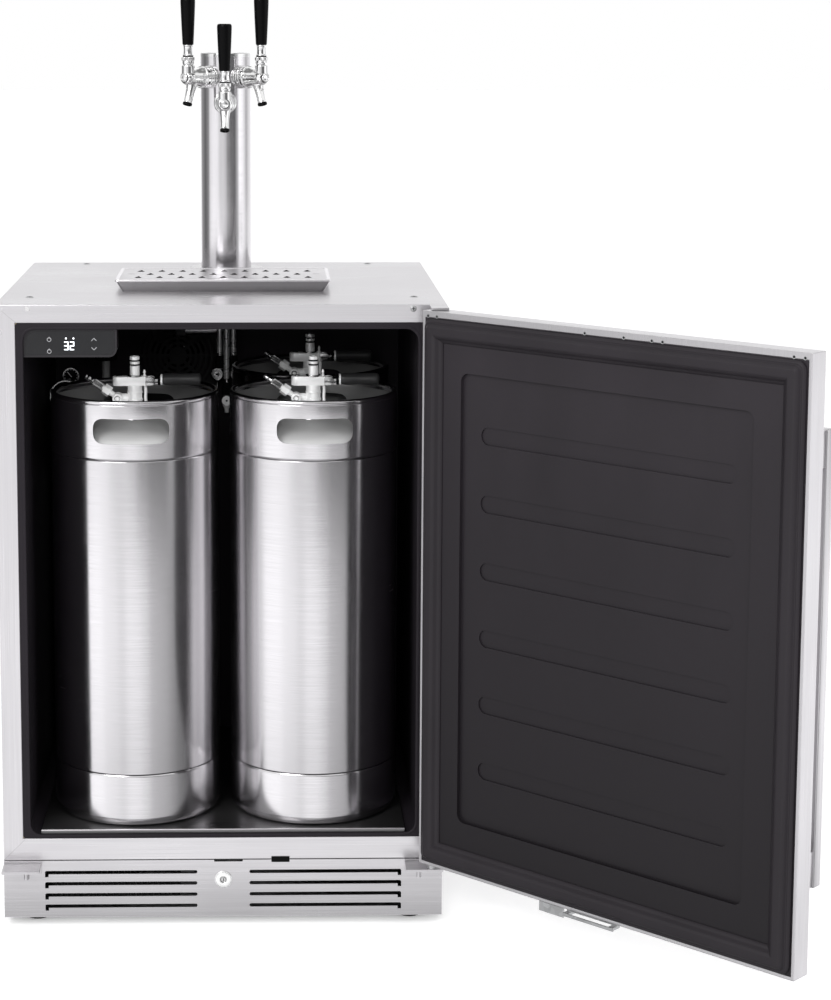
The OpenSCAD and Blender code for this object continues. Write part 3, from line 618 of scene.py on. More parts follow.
def hoop(x0, z0, x1, z1, corner, section, material, rounding=0.8):
    """A closed rim in the XZ plane: section holds (inset, y) points of its closed profile."""
    vertices = []
    rings = []
    for inset, y in fillet(section, rounding, 3, closed=True):
        reach = max(0.5, corner - inset)
        outline = round_rectangle(x0 + inset, z0 + inset, x1 - inset, z1 - inset, reach)
        rings.append(list(range(len(vertices), len(vertices) + len(outline))))
        vertices.extend((p[0], y, p[1]) for p in outline)
    return Solid(vertices, skin(rings, True), material)


def make(name, solids, at=CABINET, body="root", nodes=()):
    """One Blender object from solids; it rides on a body and may stand for CAD nodes."""
    bm = bmesh.new()
    mesh = bpy.data.meshes.new(name)
    for solid in solids:
        if solid.material.name not in mesh.materials:
            mesh.materials.append(solid.material)
        number = mesh.materials.find(solid.material.name)
        corners = [bm.verts.new(v * MM) for v in solid.vertices]
        for face in solid.faces:
            made = bm.faces.new([corners[i] for i in face])
            made.material_index = number
            made.smooth = True
    bmesh.ops.recalc_face_normals(bm, faces=bm.faces)
    bm.to_mesh(mesh)
    bm.free()
    mesh.set_sharp_from_angle(angle=SHARP)
    piece = bpy.data.objects.new(name, mesh)
    scene.collection.objects.link(piece)
    piece.matrix_world = at
    if nodes:
        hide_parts(*nodes)
    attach(piece, body)
    return piece


def pierce(piece, solids):
    """Cuts solids, given in the piece's own frame, out of it."""
    cutter = make("cutter", solids, piece.matrix_world.copy(), body_of(piece)[0])
    tool = piece.modifiers.new("holes", "BOOLEAN")
    tool.operation = "DIFFERENCE"
    tool.solver = "EXACT"
    tool.object = cutter
    bpy.context.view_layer.update()
    graph = bpy.context.evaluated_depsgraph_get()
    mesh = bpy.data.meshes.new_from_object(piece.evaluated_get(graph))
    piece.modifiers.clear()
    piece.data = mesh
    bpy.data.objects.remove(cutter)
    mesh.set_sharp_from_angle(angle=SHARP)


def dress(node, material, bevel=0.0):
    """Gives a CAD node its material and, where it has plain edges, a small real bevel."""
    shown = frame["nodes"][node]
    shown.data.materials.clear()
    shown.data.materials.append(material)
    if bevel:
        weld = shown.modifiers.new("weld", "WELD")
        weld.merge_threshold = 0.00002
        soften = shown.modifiers.new("soften", "BEVEL")
        soften.width = bevel * MM
        soften.segments = 2
        soften.limit_method = "ANGLE"
        soften.angle_limit = math.radians(50)
        soften.use_clamp_overlap = True
        even = shown.modifiers.new("even", "WEIGHTED_NORMAL")
        even.mode = "FACE_AREA"
        even.weight = 100
        even.keep_sharp = True


# ---- cabinet

def looks():
    """Materials of the CAD nodes that show as they are, and the bevels that their sheets can take."""
    for material, bevel, nodes in (
            (STEEL_X, 0.0, "top_panel"), (STEEL_X, 0.5, "hinge_brackets"), (STEEL_Z, 0.5, "side_panels"),
            (STEEL_Z, 0.9, "door_skin"), (STEEL_FRAME, 0.8, "face_frame"), (STEEL_GRILLE, 0.6, "toe_grille"),
            (STEEL_PLATE_SHADED, 0.5, "keg_floor_plate"), (GALVANISED, 0.4, "back_panel base_pan door_fittings"),
            (GALVANISED, 0.5, "hinge_pins"), (BAY_LINER, 1.2, "inner_liner"), (DOOR_LINER, 0.0, "door_liner"),
            (LINER, 0.6, "control_panel"), (GLASS, 0.3, "control_screen"), (RUBBER, 0.5, "evaporator_cover"),
            (BLACK, 0.5, "door_sensor"), (BLACK, 0.4, "condenser_fan evaporator_fan"),
            (PAINT, 0.8, "compressor"), (PAINT, 0.0, "condenser_coil"), (ALUMINIUM, 0.0, "evaporator_coil"),
            (FOAM, 0.0, "insulation_foam door_foam"), (VALVE, 0.0, "gas_cylinder")):
        for node in nodes.split():
            dress(node, material, bevel)


def screw(radius, height, base, axis):
    """A domed cross-head; its cross recess is two dark rubber bars, painted shade."""
    at = towards(base, axis)
    head = [(0, -1.5), (radius, -1.5), (radius, height * 0.35), (radius * 0.8, height * 0.85),
            (radius * 0.3, height), (0, height)]
    solids = [turned(head, GALVANISED, radius=0.4, turns=32).moved(at)]
    arm, half = radius * 0.55, radius * 0.088
    for turn in (0, math.pi / 2):
        recess_shade_bar = block((-arm, -half, -0.35), (arm, half, 0.35), RUBBER, 0.1)
        solids.append(recess_shade_bar.moved(at @ Matrix.Translation((0, 0, height)) @ Matrix.Rotation(turn, 4, "Z")))
    return solids


def cabinet_screws():
    """Four screws on the top, three pale plugs and one screw on the face frame."""
    heads = []
    for reach, y in ((264, FRONT + 89), (219, FRONT + 540)):
        for x in (-reach, reach):
            heads += screw(6.6, 2.0, (x, y, TOP - 1.2), (0, 0, 1))
    for x, z, r in ((-297.6, 860, 4.7), (-297.6, 829.5, 4.7), (-258.5, 861.5, 3.7)):
        plug = [(0, -0.4), (r, -0.4), (r - 0.1, 0.3), (r - 1.2, 0.8), (0, 1.0)]
        heads.append(turned(plug, WHITE_PLUG, (x, FRONT, z), (0, -1, 0), 0.3, 32))
    heads += screw(4.4, 1.4, (258, FRONT, 861.5), (0, -1, 0))
    make("cabinet_screw_heads", heads, nodes=("cabinet_screws",))


def levelling_feet():
    """Ribbed pads on threaded stems."""
    hi = box_mm("levelling_feet")[1]
    pad_r = 18
    pad = [(0, 0), (pad_r - 2, 0), (pad_r, 2.5), (pad_r, 6), (pad_r - 5, 8), (10, 8.5), (9, 13), (0, 13)]
    thread = [(4.9, 0), (5.3, 0.4), (4.9, 0.8)]
    solids = []
    for x in (pad_r - hi.x, hi.x - pad_r):
        for y in (pad_r - hi.y, hi.y - pad_r):
            solids.append(turned(pad, BLACK, (x, y, 0), radius=1.2, turns=72, flutes=(24, 0.8)))
            solids.append(rod(5, 27, GALVANISED, (x, y, 13)))
            for k in range(10):
                solids.append(turned(thread, GALVANISED, (x, y, 15 + 2.2 * k), radius=0.1, turns=24))
    make("levelling_feet_ribbed", solids, nodes=("levelling_feet",))


def bay_trim():
    """The rolled edge of the liner's opening, which catches the light, and the floor plate's lip."""
    half_w, ceiling_z, corner = 266, 834.5, 19
    lo, hi = box_mm("keg_floor_plate")
    section = [(-3.2, FRONT + 0.9), (-2.4, FRONT + 0.35), (0.2, FRONT + 0.35), (0.9, FRONT + 1.2),
               (0.9, FRONT + 6), (-0.4, FRONT + 6)]
    trim = hoop(-half_w, lo.z, half_w, ceiling_z, corner, section, BAY_LINER, 0.5)
    make("bay_rolled_edge", [trim])
    lip = [(lo.y + 3, lo.z + 1), (lo.y + 0.2, lo.z + 1), (lo.y + 0.2, hi.z + 1.2), (lo.y + 1.4, hi.z + 1.6),
           (lo.y + 3, hi.z + 0.6)]
    along = Matrix(((0, 0, 1, lo.x), (1, 0, 0, 0), (0, 1, 0, 0), (0, 0, 0, 1)))
    make("keg_plate_lip", [prism(lip, hi.x - lo.x, STEEL_X, 0.3, along)])


def lock():
    """Bright escutcheon, and a barrel with a key slot and a cam that turns; the key slot is a dark rubber
    block, painted shade.
    """
    z = middle_mm("lock_body").z
    face = (0, FRONT, z)
    shell = [(6.1, -22), (9, -22), (9, 0), (12, 0), (12, 0.9), (11.4, 1.4), (10.9, 0.5), (10.3, 2.1),
             (5.4, 2.4), (4.5, 1.8), (4.5, 0.4), (6.1, 0.3)]
    barrel = [(0, -25), (5.9, -25), (5.9, 0), (4.2, 0.1), (4.2, 1.1), (3.7, 1.5), (3.3, 1.1), (2.9, 1.1),
              (2.7, 1.6), (0, 1.6)]
    make("lock_escutcheon", [turned(shell, LOCK_STEEL, face, (0, -1, 0), 0.2, 56)],
         nodes=("lock_body",))
    upright = Matrix.Translation((0, FRONT + 24.5, z)) @ UPRIGHT
    turning = [turned(barrel, CHROME_SHADED, face, (0, -1, 0), 0.2, 48),
               # Key slot: a dark rubber block standing for the keyway's shade, painted shade.
               block((-0.6, FRONT - 1.75, z - 2.0), (0.6, FRONT - 1, z + 2.0), RUBBER, 0.2),
               prism(round_rectangle(-5, -9, 5, 18, 4), 2.4, GALVANISED, 0.3, upright)]
    make("lock_barrel", turning, body="lock_plug", nodes=("lock_cylinder",))


# ---- controls

MARK_DEPTH = 0.18
SEGMENTS = {"a": ((0, 2), (1, 2)), "b": ((1, 2), (1, 1)), "c": ((1, 1), (1, 0)), "d": ((0, 0), (1, 0)),
            "e": ((0, 0), (0, 1)), "g": ((0, 1), (1, 1))}


def bar(a, b, width, material):
    """A flat stroke with round ends between two points in the XZ plane."""
    start = math.degrees(math.atan2(b[1] - a[1], b[0] - a[0]))
    outline = arc(*a, width / 2, start + 90, 180, 6) + arc(*b, width / 2, start - 90, 180, 6)
    return prism(outline, MARK_DEPTH, material, 0, UPRIGHT)


def control_panel():
    """Lit digits, icons and arrows on the glass, which are generic."""
    lo, hi = box_mm("control_screen")
    level = (lo.z + hi.z) / 2
    digits_x, width, height = -203.5, 4.5, 10.2
    foot = level - 8.9
    marks = []
    for left, segments in ((digits_x - 6.4, "abgcd"), (digits_x + 1.3, "abged")):
        for name in segments:
            ends = [(left + u * width, foot + v * height / 2) for u, v in SEGMENTS[name]]
            marks.append(bar(*ends, 1.45, WHITE_MARK))
    for x in (digits_x - 4.4, digits_x + 5.6):
        marks.append(rod(1.2, 0.16, WHITE_MARK, (x, 0, level + 6.2), (0, -1, 0), 0.02, 20))
    arrow_x, icon_x = -170.5, -230.5
    for side in (-1, 1):
        tip = level + side * 8.0 - 1.6
        for lean in (-1, 1):
            marks.append(bar((arrow_x, tip), (arrow_x + lean * 3.2, tip - side * 3.4), 0.8, DIM_MARK))
    ring = [(2.9, 0), (2.9, 0.16), (2.2, 0.16), (2.2, 0)]
    for side in (-1, 1):
        z = level + side * 8.0 - 3.4
        marks.append(turned(ring, DIM_MARK, (icon_x, 0, z), (0, -1, 0), 0.02, 32))
        marks.append(bar((icon_x, z + 1.6), (icon_x, z + 3.6), 0.7, DIM_MARK))
    make("control_marks", marks, Matrix.Translation((0, (lo.y - 0.04) * MM, 0)))


# ---- tower and taps

OUTWARD = (0, -1, 0)
SPOUT_LEAN = math.radians(20)
SPOUT_REACH = 76
GRIP_RISE = 26


def tower():
    """Brushed tube whose lines run round it, a foot flange darkened with painted shade, and cap."""
    axis = middle_mm("tower_tube") * MM
    tube_steel = brushed_steel("steel_round_tower_tube", "ring", 0.7, 0.13, (axis.x, axis.y, 0))
    dress("tower_tube", tube_steel, 0.2)
    # Painted shade: the flange is a darker copy of the tower's steel.
    dress("tower_flange", polished("flange_steel_shaded", 0.42, 0.2), 0.8)
    dress("tower_cap", polished("cap_steel", 0.74, 0.12), 0.3)


def tap_shank():
    """Gaskets and collars stacked against the tube, and the tail inside it."""
    seat = [(10.5, 29), (17, 29), (17, 37.4), (16.6, 37.8), (10.5, 37.8)]
    gap = [(10.5, 37.6), (15.4, 37.6), (15.4, 39.2), (10.5, 39.2)]
    disc = [(10.5, 39), (17, 39), (17.2, 40), (17, 42), (10.5, 42)]
    washer = [(10.5, 41.8), (14.6, 41.8), (14.6, 43.2), (10.5, 43.2)]
    last = [(10.5, 43), (16.2, 43), (16.6, 44), (16.4, 46), (10.5, 46)]
    stack = [(seat, CHROME_SHADED, 0.5), (gap, RUBBER, 0.2), (disc, CHROME, 0.5), (washer, RUBBER, 0.2),
             (last, CHROME, 0.5)]
    tail = [rod(10.8, 29.5, CHROME_SHADED, (0, -17, 0), OUTWARD), rod(6, 20, CHROME_SHADED, (0, -18, -20))]
    return spun(stack, axis=OUTWARD) + tail


def tap_body():
    """Coupling nut, swelling barrel, front button, bonnet with the ball's socket, and the leaning spout."""
    nut = [(9, 46), (16, 46), (16.5, 47), (16.5, 51), (15.8, 51.6), (15.8, 52.4), (16.5, 53), (16.5, 58.5),
           (15.2, 60), (9, 60)]
    barrel = [(0, 58), (14.6, 58), (14.4, 62), (13.2, 68), (12.3, 76), (12.2, 84), (11.4, 91), (9.4, 95),
              (7.4, 96.4), (0, 96.4)]
    button = [(0, 95), (6.4, 95), (6.4, 97.6), (5.9, 98.5), (5.0, 98.6), (4.7, 97.7), (4.1, 97.7),
              (3.8, 98.3), (0, 98.6)]
    seam = [(6.5, 96.2), (7.3, 96.2), (7.3, 97.0), (6.5, 97.0)]
    body = [(nut, CHROME, 0.5, 64), (barrel, CHROME, 1.6, 64), (button, CHROME, 0.3), (seam, RUBBER, 0.1)]
    solids = spun(body, axis=OUTWARD)
    for k in range(6):
        angle = math.pi * (k + 0.5) / 3
        across, up = math.cos(angle), math.sin(angle)
        solids.append(rod(2, 1.5, RUBBER, (across * 15.2, -55.8, up * 15.2), (across, 0, up), 0.3, 20))
    bonnet = [(0, 0), (9.2, 0), (9.8, 6), (9.6, 12), (9.7, 16.6), (9.3, 18), (8.2, 18), (7.0, 16.2),
              (4.9, 14.3), (2.5, 13.2), (0, 12.9)]
    solids.append(turned(bonnet, CHROME, (0, -TAP_REACH, 0), radius=0.3))
    lean = Vector((0, -math.sin(SPOUT_LEAN), -math.cos(SPOUT_LEAN)))
    root = Vector((0, -SPOUT_REACH, 0))
    spout = [(0, -2), (9.6, -2), (9.4, 5), (8.2, 12), (6.9, 20), (6.2, 30), (6.2, 38), (6.5, 40.6), (0, 40.6)]
    tip = [(5.2, 39.6), (6.9, 39.8), (7.1, 41), (7.1, 43), (6.2, 43.2), (5.2, 42.4)]
    vent = [(1.2, -0.6), (2.3, -0.6), (2.3, 0.7), (1.2, 0.7)]
    solids += spun([(spout, CHROME, 2.0), (tip, BLACK, 0.4)], root, lean)
    # The dark rubber disc over the spout's closed end is painted shade for the inside of its mouth.
    solids.append(rod(5.4, 0.8, RUBBER, root + lean * 40.2, lean, 0.1))
    solids.append(turned(vent, CHROME_SHADED, root + lean * 22 + Vector((0, -6.6, 3)), (0, -1, 0.3), 0.2, 20))
    return solids


def tap_lever():
    """Ball, knurled bonnet nut, dark gap and ferrule."""
    ball = [(0, -8.8), (4, -7.8), (7.6, -4.2), (8.8, 0), (8.2, 3.4), (0, 3.6)]
    nut = [(0, 2.6), (8.8, 2.6), (9.6, 3.6), (9.6, 7.4), (8.9, 8.4), (0, 8.4)]
    gap = [(0, 8), (7.6, 8), (7.6, 10.4), (0, 10.4)]
    ferrule = [(0, 10.2), (7.9, 10.2), (7.9, 11.6), (6.9, 12.6), (6.5, 18), (6.7, 23), (7.3, 24.6), (7.3, 26),
               (0, 26)]
    parts = [(ball, CHROME, 1.2), (nut, CHROME, 0.4, 144, (36, 0.35)), (gap, RUBBER, 0.2),
             (ferrule, CHROME, 0.5, 56)]
    stud = rod(4, 10, CHROME_SHADED, (0, -TAP_REACH, TAP_RISE + GRIP_RISE))
    return spun(parts, (0, -TAP_REACH, TAP_RISE)) + [stud]


def tap_handle():
    """Tapered grip, slightly crowned, with a soft top edge and a foot groove."""
    outline = [(0, 0), (7.6, 0), (8.2, 1.0), (8.4, 4), (9.3, 22), (10.2, 42), (10.9, 60), (11, 65.5),
               (10.2, 68.2), (8.2, 69), (0, 69)]
    return [turned(outline, BLACK, (0, -TAP_REACH, TAP_RISE + GRIP_RISE), radius=1.6, turns=72)]


def taps():
    for name in ("left", "centre", "right"):
        at = tap_frame(name)
        make(f"tap_shank_{name}", tap_shank(), at, nodes=("tap_shanks",))
        make(f"tap_body_{name}", tap_body(), at, nodes=("tap_bodies",))
        make(f"tap_ferrule_{name}", tap_lever(), at, f"tap_{name}", (f"tap_lever_{name}",))
        make(f"tap_grip_{name}", tap_handle(), at, f"tap_{name}", (f"tap_handle_{name}",))


# ---- kegs and couplers

KEG_STEEL = brushed_steel("keg_steel", "ring", 0.66, 0.2, (0, 0, 0))
CHIME_BELOW = 72
CHIME_ABOVE = 81
CHIME_WALL = 2.5
HEAD_INSET = 3.5
KEGS = (("left", "front_left", "keg_left"), ("right", "front_right", "keg_right"),
        ("rear", "rear_right", "root"))


def dome(edge, rise, foot, facing, power=2.7):
    """Points of a pressed head from its edge to its crown: a tight knuckle, then a shallow crown."""
    points = []
    for k in range(17):
        turn = math.pi / 2 * k / 16
        r = edge * math.cos(turn) ** (2 / power) if k < 16 else 0.0
        points.append((r, foot + facing * rise * math.sin(turn) ** (2 / power)))
    return points


def keg(name, node, body):
    """Pressure vessel with its welded chimes; each chime's edge is rolled and meets a shadow groove."""
    at = coupler_frame(name)
    lo, hi = local_box_mm(node, at)
    r = hi.x
    low, high = lo.z + CHIME_BELOW, hi.z - CHIME_ABOVE

    def part(kind, profile, material, radius, turns=160, nodes=()):
        solid = turned(profile, material, radius=radius, turns=turns)
        return make(f"keg_{kind}_{name}", [solid], at, body, nodes)

    head = dome(r - HEAD_INSET, 42, high, 1)
    shell = list(reversed(dome(r - HEAD_INSET, 46, low, -1)))
    shell += [(r - 2.6, low + 1.0), (r - 1.7, low + 2.0), (r - 0.4, low + 3.0), (r - 0.4, high - 3.0),
              (r - 1.7, high - 2.0), (r - 2.6, high - 1.0)]
    shell += [p for p in head if p[0] > 26]
    shell += [(24.5, high + 42), (24, high + 43), (24, hi.z - 33), (0, hi.z - 33)]
    part("vessel", shell, KEG_STEEL, 0.6, nodes=(node,))
    crown = [(p[0] + 0.3, p[1] + 0.35) for p in head if p[0] > 29]
    crown += [(p[0] - 0.5, p[1] - 0.6) for p in reversed(crown)]
    part("dome", crown, KEG_INSIDE, 0.2, 128)
    wall = r - CHIME_WALL
    top = [(wall, high - 0.6), (r - 1.0, high - 1.6), (r, high + 0.8), (r, hi.z - 7)]
    top += arc(r - 4, hi.z - 4, 4, -40, 260, 14) + [(wall, hi.z - 9)]
    lining = [(wall - 0.4, high + 1), (wall + 0.2, high + 1), (wall + 0.2, hi.z - 12),
              (wall - 0.4, hi.z - 12)]
    hand_hole = round_rectangle(-52, -17.5, 52, 17.5, 39, 10)
    along = Matrix.Translation((0, 150, hi.z - 42)) @ UPRIGHT
    for kind, section, material in (("top_chime", top, KEG_STEEL), ("chime_lining", lining, KEG_WALL_SHADED)):
        pierce(part(kind, section, material, 0.4), [prism(hand_hole, 300, material, 0, along)])
    foot = [(r, low - 0.8), (r, lo.z + 12), (r - 0.8, lo.z + 7), (r - 2.6, lo.z + 3), (r - 5.5, lo.z + 0.6),
            (r - 8, lo.z), (r - 10, lo.z + 1.2), (r - 8.4, lo.z + 2.8), (r - 5.4, lo.z + 6),
            (wall, lo.z + 13), (wall, low + 0.6), (r - 1.0, low + 1.6)]
    part("foot_chime", foot, KEG_STEEL, 0.5)


def kegs():
    for name, place, body in KEGS:
        keg(name, f"keg_{place}", body)


def keg_neck():
    """Black seal round the neck, its retaining ring and four lugs."""
    seal = [(21.5, 699.5), (26.6, 699.5), (27, 701), (27, 705), (26, 706), (21.5, 706)]
    ring = [(13, 704.8), (20.4, 704.8), (20.8, 705.6), (20.6, 707.6), (13, 707.6)]
    solids = spun([(seal, RUBBER, 0.6, 96, (48, 0.25)), (ring, CHROME_SHADED, 0.3, 64)])
    for k in range(4):
        lug = block((20.2, -3, 703), (23.4, 3, 707.4), CHROME, 0.5)
        solids.append(lug.moved(Matrix.Rotation(k * math.pi / 2 + 0.5, 4, "Z")))
    return solids


GAS_LEAN = math.radians(55)
INLET_X = -24
INLET_Z = 720


def coupler_body():
    """Barrel, rings, yoke plates, claw and the gas inlet with its nut, barb and front cap."""
    base = [(8, 705), (19, 705), (19, 708), (17.2, 709.4), (13, 710.4), (11.5, 712), (8, 712)]
    barrel = [(7.2, 711), (10.2, 711), (10.2, 716), (11.2, 716.6), (11.2, 719), (10.2, 719.6), (10.2, 726),
              (10.9, 727), (10.9, 729), (10.2, 730), (10.2, 738), (7.2, 738)]
    solids = spun([(base, SATIN, 0.8, 64), (barrel, SATIN, 0.4, 56)])
    outline = arc(-22, 0, 9, 90, 180, 12) + [(16.5, -9), (16.5, 9)]
    solids.append(prism(outline, 13.2, SATIN, 1.4, Matrix.Translation((0, 0, 737.4))))
    solids.append(turned([(7.3, 750), (11, 750), (10.6, 752.4), (7.3, 752.4)], CHROME_SHADED, radius=0.4))
    solids.append(turned([(0, 0), (4.4, 0), (4.4, 0.9), (3.2, 1.6), (0, 1.6)], CHROME_SHADED, (-22, 0, 750.4)))
    lug = [(15, 738), (LEVER_X, 738)] + arc(LEVER_X, LEVER_Z, 6, -67.5, 157.5, 7) + [(15, 750)]
    for side in (-1, 1):
        solids.append(prism(lug, 4, CHROME_SHADED, 0.5, Matrix.Translation((0, side * 7.1 + 2, 0)) @ UPRIGHT))
        solids.append(rod(3.2, 1.4, CHROME_SHADED, (LEVER_X, side * 9.0, LEVER_Z), (0, side, 0), 0.4, 24))
    claw = [(14.6, 0, 740), (15.2, 0, 730), (14.8, 0, 720), (15.8, 0, 712), (16.6, 0, 709)]
    solids.append(tube(claw, 2.2, SATIN, 6, 16))
    solids.append(rod(6, 17, SATIN, (-7, 0, INLET_Z), (-1, 0, 0)))
    finial = [(0, 750), (2.2, 750), (2.2, 752), (1.2, 753.5), (2.0, 756), (1.0, 759.5), (0, 760)]
    cap = [(0, -12), (5.6, -12), (7.3, -11), (7.3, -3), (6.6, -2.4), (6.6, -1.2), (7.3, -0.6), (7.3, 7),
           (6, 8), (0, 8)]
    mark = [(2.6, 0), (4.4, 0), (4.4, 0.9), (2.6, 0.9)]
    solids.append(turned(finial, SATIN, (13.5, 0, 0), radius=0.5, turns=24))
    solids.append(turned(cap, SATIN, (INLET_X, 0, INLET_Z), (0, 1, 0), 0.4))
    solids.append(turned(mark, CHROME_SHADED, (INLET_X, -11.9, INLET_Z), OUTWARD, 0.2, 32))
    lean = (-math.sin(GAS_LEAN), 0, math.cos(GAS_LEAN))
    neck = [(0, 2), (4, 2), (4, 30), (0, 30)]
    nut = [(0, 13), (7.8, 13), (7.8, 24), (0, 24)]
    knurl = [(0, 26), (4.6, 26), (5.2, 27), (5.2, 40), (4.4, 41), (0, 41)]
    barb = [(0, 40), (3.4, 40), (4.6, 43), (3.4, 46), (4.6, 49), (3.4, 52), (4.2, 54), (0, 54)]
    inlet = [(neck, SATIN, 0.6, 32), (nut, SATIN, 0.6, 6), (knurl, CHROME_SHADED, 0.3, 120, (30, 0.5)),
             (barb, CHROME, 0.3, 32)]
    return solids + spun(inlet, (INLET_X, 0, INLET_Z), lean)


def coupler_probe():
    """Post with two seal rings."""
    post = [(2.8, 694), (6.6, 694), (6.9, 696), (6.9, 765), (6.1, 765.6), (6.1, 767.6), (6.9, 768.2),
            (6.9, 771), (6.1, 771.6), (6.1, 773.6), (6.9, 774.2), (6.7, 778), (5.9, 779), (3.0, 779),
            (2.8, 776)]
    solids = [turned(post, SATIN, radius=0.4)]
    for z in (765.6, 771.6):
        ring = [(5.6, z), (6.75, z), (6.75, z + 2), (5.6, z + 2)]
        solids.append(turned(ring, RUBBER, radius=0.5, turns=40))
    return solids


def coupler_lever():
    """Eye, short arm, bright collar and black grip."""
    x, z = LEVER_X, LEVER_Z
    along = (1, 0, 0)
    collar = [(0, 0), (6.4, 0), (7.4, 1), (7.4, 4), (0, 4)]
    band = [(0, 0), (7.6, 0), (7.9, 0.6), (7.9, 2.2), (7.6, 2.8), (0, 2.8)]
    grip = [(0, 0), (7.4, 0), (8.2, 3), (8.4, 12), (7.8, 24), (8.2, 38), (8.5, 47), (7.6, 52), (4, 54),
            (0, 54)]
    return [rod(5.5, 9.6, CHROME_SHADED, (x, -4.8, z), (0, 1, 0), 0.8),
            tube([(x, 0, z), (x + 7, 0, z + 0.6), (x + 15, 0, z + 1)], 4.2, CHROME_SHADED, 4, 16),
            turned(collar, BLACK, (x + 9, 0, z + 1), along, 0.4, 40),
            turned(band, SATIN, (x + 13, 0, z + 1.4), along, 0.3, 40),
            turned(grip, GRIP, (x + 16, 0, z + 2), along, 2.0)]


def couplers():
    for name, place, body in KEGS:
        at = coupler_frame(name)
        make(f"keg_neck_{name}", keg_neck(), at, body)
        make(f"coupler_{name}", coupler_body(), at, body, (f"coupler_{place}",))
        make(f"coupler_grip_{name}", coupler_lever(), at, f"coupler_lever_{name}",
             (f"coupler_lever_{place}",))
        make(f"coupler_post_{name}", coupler_probe(), at, f"coupler_probe_{name}",
             (f"coupler_probe_{place}",))


# ---- lines, duct and gas

def line_nut(base):
    """Black wing nut and the bright ferrule above it."""
    nut = [(0, 0), (7, 0), (7.6, 1), (7.6, 12), (6.4, 14), (5.6, 20), (0, 20)]
    ferrule = [(0, 19.5), (5.4, 19.5), (5.4, 24), (5.0, 25), (0, 25)]
    return spun([(nut, BLACK, 0.6, 96, (12, 0.8)), (ferrule, CHROME, 0.3, 32)], base)


def disc_fitting(x, y, z, r, face):
    """A quick disconnect seen from the front: rim, grooved face with a dark centre, flared stem."""
    rim = [(r * 0.8, -4), (r - 0.5, -4), (r, -3.2), (r, 3.4), (r - 0.8, 4), (r * 0.8, 4)]
    core = [(0, -3.6), (1.6, -3.6), (1.7, -4.4), (r * 0.5, -4.6), (r * 0.52, -4.0), (r * 0.62, -4.0),
            (r * 0.64, -4.6), (r * 0.84, -4.4), (r * 0.84, 3.6), (0, 3.6)]
    stem = [(0, 0), (3.2, 0), (3.2, 5), (4.6, 9), (6.4, 11.5), (0, 11.5)]
    solids = spun([(rim, BLACK, 0.4), (core, face, 0.2)], (x, y, z), (0, 1, 0))
    solids.append(rod(1.5, 1.0, RUBBER, (x, y - 4.5, z), (0, 1, 0), 0.1, 20))
    solids.append(turned(stem, face, (x, y, z - r - 10), turns=32))
    return solids


def beer_lines():
    """Three hoses from the shanks down to their disconnects."""
    solids = []
    for name, back, low, radius, aside, face in (("left", -17, 708, 10.8, -4, CHROME_SHADED),
                                                 ("right", -17, 708, 10.8, 4, CHROME_SHADED),
                                                 ("centre", -20, 668, 8.8, 0, SATIN)):
        x, y, top = (tap_frame(name) @ (Vector((0, back, -20)) * MM)) / MM
        heights = (low + 8, low + 40, (low + top) / 2, top - 30, top)
        solids.append(tube([(x, y, z) for z in heights], 4.4, HOSE, 10, 24))
        solids += line_nut((x, y, low + 9))
        solids += disc_fitting(x + aside, y, low, radius, face)
    make("beer_hoses", solids, nodes=("beer_lines",))


def tower_duct():
    """Corrugated aluminium hose with its collar on the fan cover."""
    y, z = middle_mm("tower_duct").y, 774
    route = [(-66, 0), (-50, 0), (-34, 0), (-18, 1), (-6, 6), (-0.6, 17), (0, 34), (0, 70), (0, 110)]
    hose = tube([(x, y, z + rise) for x, rise in route], 6.7, ALUMINIUM, 7, 24, 0.7)
    collar = block((-78, y - 7.4, z - 9), (-62, y + 7.4, z + 9), LINER, 1.5)
    clip = turned([(6.6, 0), (7.6, 0), (7.6, 5), (6.6, 5)], GALVANISED, (-60, y, z), (1, 0, 0), 0.3, 40)
    make("tower_air_hose", [hose, collar, clip], nodes=("tower_duct",))


def gauge(x, z, r, front_y, depth):
    """Knurled rim, pan and dial with plain ticks and a needle."""
    at = towards((x, front_y + depth, z), OUTWARD)
    rim = [(r - 3, 0), (r, 0), (r, depth - 1.5), (r - 1, depth), (r - 3.2, depth), (r - 3.2, 2)]
    pan = [(0, 0), (r - 2, 0), (r - 2, depth - 3), (0, depth - 3)]
    face = depth - 2.95
    solids = spun([(rim, CHROME_SHADED, 0.5, 192, (48, 0.45)), (pan, CHROME_SHADED)])
    solids.append(rod(r - 3.4, 0.4, BLACK, (0, 0, face), edge=0.05, turns=64))
    # Ticks and needle glow with the dim-mark material: a painted glow.
    for k in range(11):
        tick = block((-0.3, r * 0.62, face + 0.4), (0.3, r * 0.76, face + 0.6), DIM_MARK, 0.05)
        solids.append(tick.moved(Matrix.Rotation(math.radians(135 - 27 * k), 4, "Z")))
    needle = block((-0.35, -r * 0.15, face + 0.7), (0.35, r * 0.6, face + 1.0), DIM_MARK, 0.1)
    solids.append(needle.moved(Matrix.Rotation(math.radians(40), 4, "Z")))
    return [solid.moved(at) for solid in solids]


